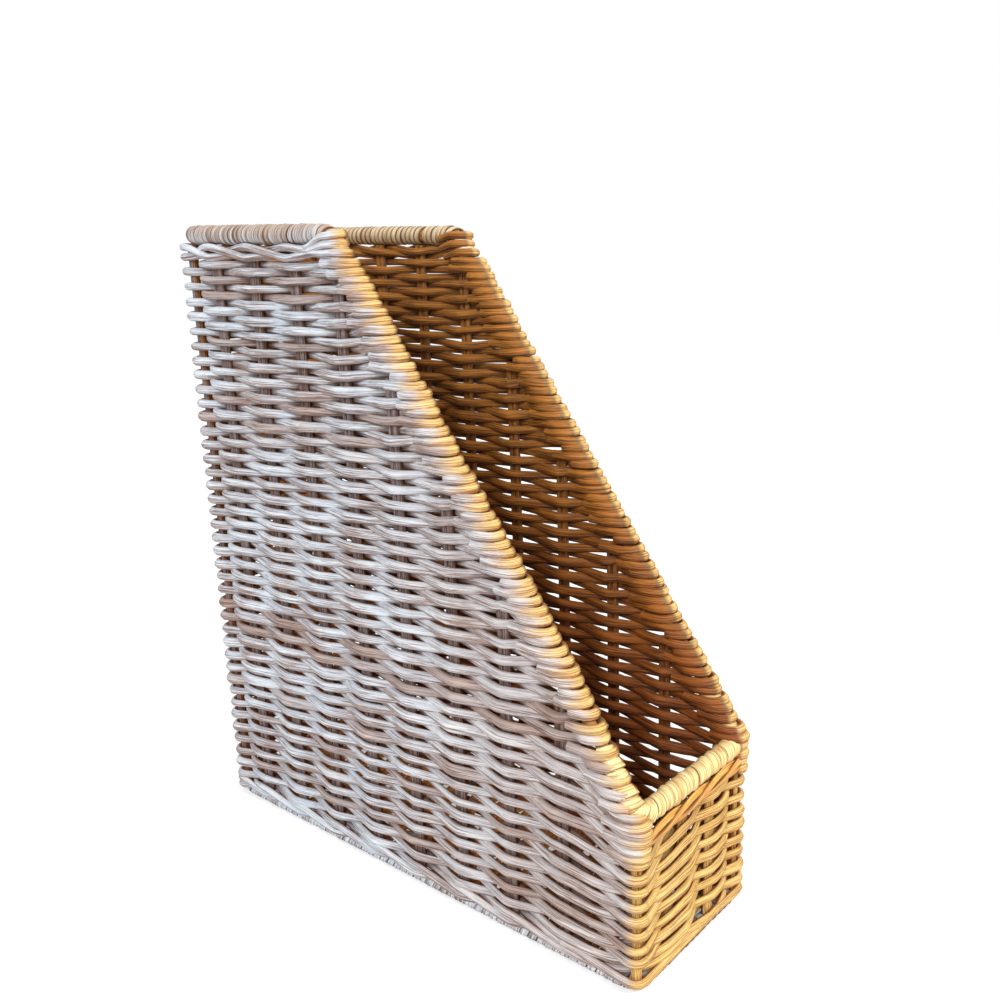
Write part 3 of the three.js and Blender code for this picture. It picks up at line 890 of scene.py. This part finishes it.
    def wash(self):
        """Colour of the whitewash, in thin and thick streaks, bluer at the back and warmer near the front:
        painted cool and warm light.
        """
        tree = self.tree
        thin = mix(tree, self.warm_light_toward_front, *THIN_WASH)
        thick = mix(tree, self.warm_light_toward_front, *THICK_WASH)
        return mix(tree, ramp(tree, self.coarse, *WASH_STREAKS), thin, thick)

    def cracked(self, colour):
        """The colour with fine dark lines along the fibres, tinted cooler at the back and warmer near the
        front as painted light.
        """
        tree = self.tree
        hairline = ramp(tree, self.fibres, *HAIRLINES, HAIRLINE_SHARE, 0.0)
        return mix(tree, hairline, colour, mix(tree, self.warm_light_toward_front, *CRACK), "MULTIPLY")

    def seamed(self, colour, seam, start):
        """The colour with the two edges of a flat strip dark, from start to the edge."""
        edge = calc(self.tree, "ABSOLUTE", self.section["Y"])
        return mix(self.tree, ramp(self.tree, edge, start, 1.0, 0.0, seam), colour, SEAM_BROWN)

    def bumped(self, strength):
        """The normal, roughened by grain, fibres and pores."""
        tree = self.tree
        node = tree.nodes.new("ShaderNodeBump")
        node.inputs["Strength"].default_value = strength
        node.inputs["Distance"].default_value = BUMP_HEIGHT
        height = weighted_sum(tree, self.grain, (self.fibres, FIBRE_BUMP), (self.pores, PORE_BUMP))
        tree.links.new(height, node.inputs["Height"])
        return node.outputs["Normal"]


def rattan(name, side, front, inside, wash_share, wash_up_and_top_light=0.13, grain_round=7.0, roughness=0.62, bump=0.5,
           seam=0.0, recess=0.75, bound=False):
    """Rattan with its grain along the strand, brushed with whitewash on the basket's outside.

    side, front and inside are pairs of colours, the dark and the light of the grain, for the faces that
    look sideways or back, to the front, and into the basket. The front pair is warmer in part as painted
    warm light on the front wall, and the inside pair darker in part as painted shade inside the basket.
    wash_share is the share of the full wash, wash_up_and_top_light how much more of it lies on top, in part
    as painted light from above, grain_round the waves of grain across the section, seam how dark the strip's
    two edges are, and recess how dark the painted shade on the strand behind the stakes is. On a bound rim
    the half towards the basket's inside has the inside colours. Towards the front of the basket the
    wash is thinner, and the wash, the hairlines and the shade behind the stakes turn from cool to warm,
    as painted light."""
    material = bpy.data.materials.new(name)
    material.use_nodes = True
    tree = material.node_tree
    surface = Surface(tree, grain_round, bound)
    bare = surface.bare(side, front, inside, recess)
    colour = mix(tree, surface.coat(wash_share, wash_up_and_top_light, recess), bare, surface.wash())
    colour = surface.cracked(colour)
    if seam:
        colour = surface.seamed(colour, seam, BOUND_SEAM_START if bound else SEAM_START)
    rough = ramp(tree, surface.grain, *GRAIN_ROUGH, *(roughness + spread for spread in ROUGHNESS_SPREAD))
    shader = tree.nodes["Principled BSDF"]
    tree.links.new(colour, shader.inputs["Base Color"])
    tree.links.new(rough, shader.inputs["Roughness"])
    tree.links.new(surface.bumped(bump), shader.inputs["Normal"])
    return material


# Pairs of colours, dark and light of the grain. The golden front pair is in part painted warm light on the
# front wall
PINK_BROWN = rgb(118, 86, 72), rgb(198, 166, 148)
STAKE_BROWN = rgb(76, 52, 46), rgb(150, 116, 102)
GOLDEN_AND_WARM_LIT = rgb(166, 102, 26), rgb(252, 216, 130)
# The honey inside colours are darkened in part as painted shade inside the basket
HONEY_AND_SHADE = rgb(84, 45, 10), rgb(192, 123, 40)
CREAM = rgb(190, 154, 110), rgb(242, 218, 180)
WORN_CREAM = rgb(122, 94, 78), rgb(202, 184, 168)
CREAM_GOLD = rgb(200, 156, 88), rgb(252, 228, 164)
ORANGE_TAN = rgb(134, 84, 40), rgb(206, 146, 78)
FOOT_GREY = rgb(126, 116, 116), rgb(196, 196, 204)
FOOT_BROWN = rgb(96, 62, 34), rgb(168, 120, 66)
STRIP_ORANGE = rgb(190, 120, 46), rgb(250, 190, 96)
WOVEN = rattan("washed_weaver", PINK_BROWN, GOLDEN_AND_WARM_LIT, HONEY_AND_SHADE, wash_share=0.95, bump=0.8)
STAKE = rattan("stake_rattan", STAKE_BROWN, GOLDEN_AND_WARM_LIT, HONEY_AND_SHADE, wash_share=0.18, recess=0.0)
ROD = rattan("rod_rattan", ORANGE_TAN, ORANGE_TAN, ORANGE_TAN, wash_share=0.0, recess=0.0)
FLAT = dict(grain_round=3.0, bump=0.3, recess=0.0)
CANE = rattan("split_cane", WORN_CREAM, CREAM_GOLD, CREAM, wash_share=0.5, wash_up_and_top_light=-0.16,
              roughness=0.5, seam=0.8, bound=True, **FLAT)
FRONT_CANE = rattan("front_cane", CREAM_GOLD, CREAM_GOLD, CREAM_GOLD, wash_share=0.12, wash_up_and_top_light=0.0,
                    roughness=0.5, seam=0.85, **FLAT)
FOOT_CANE = rattan("foot_cane", FOOT_GREY, FOOT_BROWN, FOOT_BROWN, wash_share=0.9, seam=0.7, **FLAT)
STRIP = rattan("cane_strip", STRIP_ORANGE, STRIP_ORANGE, STRIP_ORANGE, wash_share=0.0,
               roughness=0.5, seam=0.75, **FLAT)
BASE = rattan("base_weaver", HONEY_AND_SHADE, HONEY_AND_SHADE, HONEY_AND_SHADE, wash_share=0.0, recess=0.0)


def weave():
    """The rows of all four walls: closed rings to the front wale, open rows round the back above it.

    The lowest ring lies a row below the weave's bottom, half hidden by the foot wale."""
    rings = round((FRONT_WALE_BOTTOM - WEAVE_BOTTOM) / ROW_PITCH)
    rows = round((TOP_WALE_BOTTOM - WEAVE_BOTTOM) / ROW_PITCH)
    strand = dict(Thickness=STRAND_THICKNESS, Height=STRAND_HEIGHT, Sides=STRAND_SIDES,
                  Waver=STRAND_WAVER, Unevenness=STRAND_UNEVENNESS)
    low = Bundle(seed=11)
    for row in range(-1, rings):
        ring_row(low, row)
    sweep("weave_rings", low, STRAND_TREE, WOVEN, "weave", ["front_weave"], Seed=3.0, **strand)
    bands = (("weave_lower", ["left_weave"]), ("weave_middle", ["right_weave"]),
             ("weave_upper", ["back_weave", "slope_wraps_left", "slope_wraps_right"]))
    per_band = (rows - rings) / len(bands)
    for number, (name, nodes) in enumerate(bands):
        bundle = Bundle(seed=20 + number)
        first = rings + round(number * per_band)
        for row in range(first, rings + round((number + 1) * per_band)):
            open_row(bundle, row)
        sweep(name, bundle, STRAND_TREE, WOVEN, "weave", nodes, Seed=5.0 + number, **strand)


def rod_points(start, end, outside):
    """Points of a straight rod. Its section is round, so any facing across it will do."""
    line = end - start
    across = line.cross(outside).normalized()
    facing = across.cross(line).normalized()
    count = max(2, round(line.length / ROD_STEP))
    return [Point(start + line * i / count, facing, outside, 1.0) for i in range(count + 1)]


def rods(name, node, lines, diameter, material, slot, seed, waver=ROD_WAVER):
    """One node's rods, each from start to end, as a piece that stands for the node."""
    bundle = Bundle(seed)
    for start, end, outside in lines:
        bundle.add(rod_points(start, end, outside))
    sweep(name, bundle, STRAND_TREE, material, slot, [node], Waver=waver, Unevenness=ROD_UNEVENNESS,
          Seed=float(seed), **round_section(diameter))


def corner_post(post, seed):
    """One thick rod from foot to top."""
    low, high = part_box(post.node)
    outward = (post.before + post.after).normalized()
    line = (post.place + UP * low.z, post.place + UP * high.z, outward)
    rods(post.node + "_rod", post.node, [line], 2 * post.half, STAKE, "stake", seed, waver=0.0)


def stake(post, seed):
    """Two rods side by side. On the side walls each ends just under the slope rod where that is lower."""
    low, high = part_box(post.node)
    along = along_wall(post.before)
    pair = abs((high - low).dot(along))
    shift = (pair - 2 * post.half) / 2
    lines = []
    for way in (-1, 1):
        foot = post.place + along * way * shift
        top = high.z
        if post.before in (LEFT, RIGHT):
            top = min(top, slope_z(foot.y) - STAKE_CLEARANCE)
        lines.append((foot + UP * low.z, foot + UP * top, post.before))
    rods(post.node + "_pair", post.node, lines, 2 * post.half, STAKE, "stake", seed)


def uprights():
    """The stakes and corner posts."""
    for number, post in enumerate(RING):
        build = stake if post.before == post.after else corner_post
        build(post, seed=40 + number)


class Guide:
    """A line that a winding follows, measured along its length."""

    def __init__(self, points):
        self.points = points
        self.marks = [0.0]
        for a, b in zip(points, points[1:]):
            self.marks.append(self.marks[-1] + (b - a).length)
        self.length = self.marks[-1]

    def at(self, distance):
        """Place and direction at a distance from the start."""
        distance = min(max(distance, 0.0), self.length)
        for i in range(len(self.points) - 1):
            if distance <= self.marks[i + 1]:
                break
        a, b = self.points[i], self.points[i + 1]
        share = (distance - self.marks[i]) / (self.marks[i + 1] - self.marks[i])
        before = (a - self.points[i - 1]).normalized() if i else (b - a).normalized()
        after = (self.points[i + 2] - b).normalized() if i + 2 < len(self.points) else (b - a).normalized()
        here = (b - a).normalized()
        heading = (before + here).lerp(here + after, share).normalized()
        return a.lerp(b, share), heading


def bent_line(corners, bend, closed=False):
    """A guide along straight lines from corner to corner, rounded where they meet."""
    count = len(corners)
    points = []
    for i, corner in enumerate(corners):
        if not closed and i in (0, count - 1):
            points.append(corner)
            continue
        before = (corners[i - 1] - corner).normalized() * bend
        after = (corners[(i + 1) % count] - corner).normalized() * bend
        for k in range(BEND_STEPS + 1):
            t = k / BEND_STEPS
            points.append(corner + before * (1 - t) ** 2 + after * t**2)
    if closed:
        points.append(points[0])
    return Guide(points)


def with_mirror(corners):
    """Corners on the left, and then the same on the right in the opposite order."""
    return corners + [Vector((-c.x, c.y, c.z)) for c in reversed(corners)]


def winding(bundle, guide, radii, width, clear=0.3 * MM, lean=0.1, spread=0.13, gap_share=0.0):
    """A strip wound along a guide, turn beside turn, each turn's edge a little over the one before.

    clear is the room between two turns, spread how unevenly they follow each other, and lean how far
    each tips over. gap_share of the turns, chosen at random, leave a gap in which the core shows."""
    rng = bundle.rng
    points = []
    tones = []
    travel = 0.0
    while travel < guide.length:
        pitch = (width + clear) * rng.uniform(1 - spread, 1 + spread)
        swell = rng.uniform(*TURN_SWELL)
        tilt = lean * rng.uniform(*TURN_LEAN)
        tone = rng.random()
        if rng.random() < gap_share:
            pitch += GAP_WIDTH * rng.uniform(*GAP_SPREAD)
        for step in range(TURN_STEPS):
            angle = 2 * math.pi * step / TURN_STEPS
            place, heading = guide.at(travel + pitch * step / TURN_STEPS)
            side = heading.cross(UP).normalized()
            over = side.cross(heading)
            out, up = math.cos(angle), math.sin(angle)
            reach = side * (out * (radii[0] + swell)) + over * (up * (radii[1] + swell))
            radial = (side * (out * radii[1]) + over * (up * radii[0])).normalized()
            points.append(Point(place + reach, (radial - heading * tilt).normalized(), radial, 1.0))
            tones.append(tone)
        travel += pitch
    bundle.add(points, tones=tones)


def rim_radius(node):
    """Radius of a binding's middle, from its node's height."""
    low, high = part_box(node)
    return (high.z - low.z) / 2 - CANE_THICKNESS / 2


def rim_core(name, guide, radius, nodes, seed):
    """The plain rod inside a binding of the radius given, bent round the corners with it."""
    bundle = Bundle(seed)
    points = []
    for i, place in enumerate(guide.points):
        after = guide.points[min(i + 1, len(guide.points) - 1)]
        before = guide.points[max(i - 1, 0)]
        side = (after - before).cross(UP).normalized()
        points.append(Point(place, side, side, 1.0))
    bundle.add(points)
    sweep(name, bundle, STRAND_TREE, ROD, "rod", nodes, **round_section(2 * radius - CANE_THICKNESS))


def top_rim():
    """The rim of the side and back walls: one bent rod, bound all along with flat cane."""
    rim_z = middle("rim_binding_left").z
    low_z = rim_z - HEAD_DROP
    x, back_y = abs(middle("rim_rod_left").x), middle("rim_rod_back").y
    head, end = Vector((-x, SLOPE_HEAD.y, rim_z)), Vector((-x, back_y, rim_z))
    left = [Vector((-x, slope_y(low_z), low_z)), head, end]
    guide = bent_line(with_mirror(left), RIM_BEND)
    walls = ("left", "right", "back")
    radius = rim_radius("rim_binding_left")
    rim_core("rim_core_top", guide, radius, [f"rim_rod_{wall}" for wall in walls], seed=78)
    top = Bundle(seed=80)
    winding(top, guide, (radius, radius), RIM_CANE_WIDTH, gap_share=0.09)
    sweep("rim_wrap_top", top, CANE_TREE, CANE, "cane_binding", [f"rim_binding_{wall}" for wall in walls],
          **cane_section(RIM_CANE_WIDTH))


def front_rim():
    """The front rim and the foot of both slopes, bound with wider cane."""
    x = abs(middle("rim_rod_left").x)
    front = middle("rim_binding_front")
    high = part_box("slope_binding_left")[1].z
    left = [Vector((-x, slope_y(high), high)), Vector((-x, front.y - FRONT_RIM_FORWARD, front.z))]
    guide = bent_line(with_mirror(left), FRONT_RIM_BEND)
    radius = rim_radius("rim_binding_front")
    rim_core("rim_core_front", guide, radius, ["rim_rod_front"], seed=79)
    wrap = Bundle(seed=81)
    winding(wrap, guide, (radius, radius), FRONT_CANE_WIDTH, lean=0.22, spread=0.2, gap_share=0.08)
    sweep("rim_wrap_front", wrap, CANE_TREE, FRONT_CANE, "cane_binding",
          ["rim_binding_front", "slope_binding_left", "slope_binding_right"], Seed=4.0,
          **cane_section(FRONT_CANE_WIDTH))


def foot_rods():
    """The rods under the foot wale, wound with flat cane all round and flattened to stand."""
    low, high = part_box("foot_rod_left")
    x = abs(middle("foot_rod_left").x)
    front, back = middle("foot_rod_front").y, middle("foot_rod_back").y
    z = (low.z + high.z) / 2
    guide = bent_line(with_mirror([Vector((-x, front, z)), Vector((-x, back, z))]), FOOT_BEND, closed=True)
    wide, tall = (high.x - low.x) / 2, (high.z - low.z) / 2
    rod = Bundle(seed=70)
    points = []
    for point in guide.points[:-1]:
        outward = Vector((point.x / x, point.y / back, 0)).normalized()
        points.append(Point(point, outward, outward, 1.0))
    rod.add(points, closed=True)
    nodes = [f"foot_rod_{wall}" for wall in ("left", "right", "front", "back")]
    sweep("foot_core", rod, STRAND_TREE, ROD, "rod", nodes, Thickness=2 * (wide - CANE_THICKNESS),
          Height=2 * (tall - CANE_THICKNESS), Sides=STRAND_SIDES)
    wrap = Bundle(seed=71)
    winding(wrap, guide, (wide, tall - FOOT_CANE_SINK), FOOT_CANE_WIDTH, clear=0.5 * MM, lean=0.05)
    sweep("foot_wrap", wrap, CANE_TREE, FOOT_CANE, "cane_binding", nodes, **cane_section(FOOT_CANE_WIDTH))


def base_rows(sticks, low, high, half):
    """Knots of the base's strand, to and fro over and under the sticks, with its turns at the walls."""
    tops = [middle(n) for n in sticks]
    away = half + BASE_THICKNESS / 2
    span = high.y - low.y + 2 * BASE_OVERLAP
    rows = round(span / BASE_PITCH)
    knots = []
    for row in range(rows):
        way = 1 if row % 2 == 0 else -1
        y = low.y - BASE_OVERLAP + (row + 0.5) * span / rows
        turn = (high.x + BASE_REACH) * way
        places = [Vector((-turn, y, tops[0].z))]
        for number, stick in enumerate(tops[::way]):
            side = 1 if (number + (row // 2)) % 2 == 0 else -1
            places.append(Vector((stick.x, y, stick.z + side * away)))
        places.append(Vector((turn, y, tops[0].z)))
        knots += [Knot(place, RIGHT * way, UP, UP, 1.0) for place in places]
    return knots


def base():
    """The bottom: one flat strand woven on three sticks, turning at the walls."""
    low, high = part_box("base_weave")
    sticks = sorted((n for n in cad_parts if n.startswith("base_stick_")), key=lambda n: middle(n).x)
    half = (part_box(sticks[0])[1].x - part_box(sticks[0])[0].x) / 2
    bundle = Bundle(seed=60)
    bundle.add(trace(base_rows(sticks, low, high, half), step=BASE_STEP))
    sweep("base_rows", bundle, STRAND_TREE, BASE, "base_weave", ["base_weave"], Thickness=BASE_THICKNESS,
          Height=BASE_WIDTH, Sides=BASE_SIDES, Waver=BASE_WAVER, Unevenness=BASE_UNEVENNESS)
    for number, node in enumerate(sticks):
        near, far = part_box(node)
        centre = (near + far) / 2
        start, end = (Vector((centre.x, y, centre.z)) for y in (near.y, far.y))
        rods(node + "_rod", node, [(start, end, UP)], 2 * half, BASE, "rod", 61 + number)


def wale_knots(indices, level, strand, lift=WALE_LIFT):
    """Knots of one of three strands, in front of two uprights and behind the third."""
    knots = []
    for index in indices:
        stroke = (index + strand) % 3
        side = -1 if stroke == 2 else 1
        rise = (-lift, lift, 0.0)[stroke]
        knots += passing(RING[index], side, level + rise, WALE_THICKNESS)
    return knots


def along_front(knots, z, side):
    """The same knots, but along the front wall on one side of every upright, at one height."""
    corner_y = RING[0].place.y + FRONT_STRAND_REACH
    front_part = []
    for index in (*range(len(RING) - len(FRONT_STAKES) - 1, len(RING)), 0):
        front_part += passing(RING[index], side, z, WALE_THICKNESS)
    return [knot for knot in knots if knot.place.y > corner_y] + front_part


def head_loop(outward, level, rise, rng):
    """Knots of a top wale strand's end: it climbs on the outside, rounds the slope's head and ends inside."""
    z = middle("rim_binding_left").z + rise
    axis = Vector((abs(LEFT_STAKES[0].place.x) * outward.x, min(slope_y(z), SLOPE_HEAD.y), 0))
    away = SLOPE_RADIUS + WALE_THICKNESS / 2
    centre = axis + UP * z
    outer, inner = centre + outward * away, centre - outward * away
    climb = z - level
    steps = [
        (outer + BACK * HEAD_RUN - UP * climb * HEAD_CLIMB_LEFT[0], FRONT, outward, outward),
        (outer + BACK * HEAD_START - UP * climb * HEAD_CLIMB_LEFT[1], FRONT, outward, outward),
        (centre + FRONT * away * LOOP_REACH_SHARE, -outward, FRONT, loop_face(outward)),
        (inner + BACK * LOOP_START, BACK, -outward, outward),
        (inner + BACK * rng.uniform(*HEAD_TAIL) - UP * HEAD_TAIL_DROP, BACK, -outward, outward),
    ]
    return [Knot(*step, girth) for step, girth in zip(steps, HEAD_GIRTHS)]


def wale(name, bundle, nodes, seed):
    """Sweeps a band of twisted strands."""
    sweep(name, bundle, STRAND_TREE, WOVEN, "wale", nodes, Seed=seed, Thickness=WALE_THICKNESS,
          Height=WALE_HEIGHT, Sides=STRAND_SIDES, Waver=WALE_WAVER, Unevenness=WALE_UNEVENNESS)


def foot_wale():
    """The band round the foot. Along the front wall one strand stays outside the uprights, one inside."""
    foot = Bundle(seed=100)
    level = middle("foot_wale_left").z - FOOT_WALE_DROP
    for strand in range(3):
        knots = wale_knots(range(len(RING)), level, strand)
        if strand == 0:
            knots = along_front(knots, level - FRONT_STRAND_DROP, 1)
        elif strand == 1:
            knots = along_front(knots, level, -1)
        foot.add(trace(knots, closed=True), closed=True)
    wale("foot_wale_ring", foot, [f"foot_wale_{wall}" for wall in ("left", "right", "back", "front")], 9.0)


def top_wale():
    """The band under the top rims, from the head of one slope round the back to the other."""
    top = Bundle(seed=102)
    level = middle("top_wale_left").z + TOP_WALE_RAISE
    met = [i for i, post in enumerate(RING) if post.place.y > SLOPE_HEAD.y + HEAD_RUN]
    for strand in range(3):
        knots = wale_knots(met, level, strand, lift=TOP_WALE_LIFT)
        start = head_loop(LEFT, level, HEAD_RISES[strand], top.rng)
        end = head_loop(RIGHT, level, HEAD_RISES[strand], top.rng)
        top.add(trace(turned_round(start) + knots + end))
    wale("top_wale_strands", top, ["top_wale_left", "top_wale_right"], 10.0)


def front_wale():
    """Flat strips twisted loosely round each other under the front rim, outside the stakes."""
    low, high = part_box("front_wale")
    width, height = high.x - low.x, high.z - low.z
    face = low.y + FRONT_STRIP_THICKNESS / 2
    bundle = Bundle(seed=105)
    count = round(width / STRAND_STEP)
    for strip in range(FRONT_STRIPS):
        points = []
        for i in range(count + 1):
            share = i / count
            angle = 2 * math.pi * (FRONT_TWISTS * share + strip / FRONT_STRIPS)
            climb = FRONT_WALE_START_SHARE + FRONT_WALE_CLIMB_SHARE * share
            place = Vector((
                low.x + width * share,
                face + FRONT_STRIP_DEPTH * (1 - math.cos(angle)) / 2,
                low.z + height * climb + FRONT_STRIP_SWING * math.sin(angle),
            ))
            facing = (FRONT + UP * FRONT_STRIP_TILT * math.sin(angle)).normalized()
            points.append(Point(place, facing, FRONT, 1.0))
        bundle.add(points)
    sweep("front_wale_strips", bundle, CANE_TREE, STRIP, "wale", ["front_wale"], Seed=12.0,
          Thickness=FRONT_STRIP_THICKNESS, Height=FRONT_STRIP_WIDTH, Sides=CANE_CORNER_STEPS,
          Waver=FRONT_STRIP_WAVER, Unevenness=FRONT_STRIP_UNEVENNESS)


def dress_slope_rods():
    """The slope rods keep their CAD mesh and get the rods' finish."""
    for node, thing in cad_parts.items():
        if node.startswith("slope_rod"):
            for slot in thing.material_slots:
                slot.material = ROD


# Camera, fitted to the basket's outline in the photograph
SENSOR_WIDTH = 36.0
LENS = 35.912
CAMERA_SHIFT = -0.14
CAMERA_PLACE = (-332.93 * MM, -353.35 * MM, 311.37 * MM)
CAMERA_DEGREES = (75.563, 0.01, -54.276)
CAMERA_NEAREST = 10 * MM

# Studio: how strongly the sky lights the basket, and a floor that pales with the distance from it
SKY_LIGHT = 0.5
FLOOR_HALF = 3.0
FLOOR_GREY = 0.86
FLOOR_ROUGHNESS = 0.9
GLOW_DISTANCE = (150 * MM, 600 * MM)
GLOW_STRENGTH = (0.4, 0.6)


def camera():
    """The camera at the photograph's viewing angle."""
    data = bpy.data.cameras.new("camera")
    data.sensor_width = SENSOR_WIDTH
    data.lens = LENS
    data.shift_x = CAMERA_SHIFT
    data.clip_start = CAMERA_NEAREST
    viewer = add_object("camera", data)
    viewer.location = CAMERA_PLACE
    viewer.rotation_euler = [math.radians(a) for a in CAMERA_DEGREES]
    bpy.context.scene.camera = viewer


def lamp(name, place, target, size, power, colour):
    """A round lamp, turned to its target."""
    data = bpy.data.lights.new(name, "AREA")
    data.shape = "DISK"
    data.size = size
    data.energy = power
    data.color = colour
    light = add_object(name, data)
    light.location = place
    light.rotation_euler = (Vector(target) - Vector(place)).to_track_quat("-Z", "Y").to_euler()


def sky():
    """White to what looks at it, and SKY_LIGHT times as bright to what it lights."""
    world = bpy.data.worlds.new("studio")
    bpy.context.scene.world = world
    world.use_nodes = True
    tree = world.node_tree
    paths = tree.nodes.new("ShaderNodeLightPath")
    seen = calc(tree, "MAXIMUM", paths.outputs["Is Camera Ray"], paths.outputs["Is Glossy Ray"])
    seen = calc(tree, "MAXIMUM", seen, paths.outputs["Is Transmission Ray"])
    strength = calc(tree, "ADD", calc(tree, "MULTIPLY", seen, 1 - SKY_LIGHT), SKY_LIGHT)
    background = tree.nodes["Background"]
    background.inputs["Color"].default_value = (1, 1, 1, 1)
    tree.links.new(strength, background.inputs["Strength"])


def pale_floor():
    """The floor's finish: pale grey, and paler to the camera further out, so that it meets the backdrop."""
    material = bpy.data.materials.new("pale_floor")
    material.use_nodes = True
    tree = material.node_tree
    shader = tree.nodes["Principled BSDF"]
    shader.inputs["Base Color"].default_value = (FLOOR_GREY, FLOOR_GREY, FLOOR_GREY, 1)
    shader.inputs["Roughness"].default_value = FLOOR_ROUGHNESS
    shader.inputs["Emission Color"].default_value = (1, 1, 1, 1)
    far = tree.nodes.new("ShaderNodeVectorMath")
    far.operation = "LENGTH"
    tree.links.new(tree.nodes.new("ShaderNodeTexCoord").outputs["Object"], far.inputs[0])
    glow = ramp(tree, far.outputs["Value"], *GLOW_DISTANCE, *GLOW_STRENGTH)
    paths = tree.nodes.new("ShaderNodeLightPath")
    strength = calc(tree, "MULTIPLY", glow, paths.outputs["Is Camera Ray"])
    tree.links.new(strength, shader.inputs["Emission Strength"])
    return material


def studio():
    """A pale floor, a white backdrop, cool light from the left and warm light from the front."""
    lamp("cool_key", place=(-1.4, -0.6, 1.15), target=(0, 0, 0.15), size=0.7, power=18.0,
         colour=(0.93, 0.96, 1.0))
    lamp("warm_fill", place=(-0.1, -1.45, 1.25), target=(0, 0, 0.16), size=0.5, power=19.0,
         colour=(1.0, 0.93, 0.8))
    sky()
    mesh = bpy.data.meshes.new("floor")
    corners = [(x * FLOOR_HALF, y * FLOOR_HALF, 0) for x, y in ((-1, -1), (1, -1), (1, 1), (-1, 1))]
    mesh.from_pydata(corners, [], [(0, 1, 2, 3)])
    mesh.materials.append(pale_floor())
    add_object("floor", mesh)


camera()
weave()
uprights()
top_rim()
front_rim()
foot_rods()
base()
foot_wale()
top_wale()
front_wale()
dress_slope_rods()
studio()
bpy.context.scene.view_settings.view_transform = "Standard"
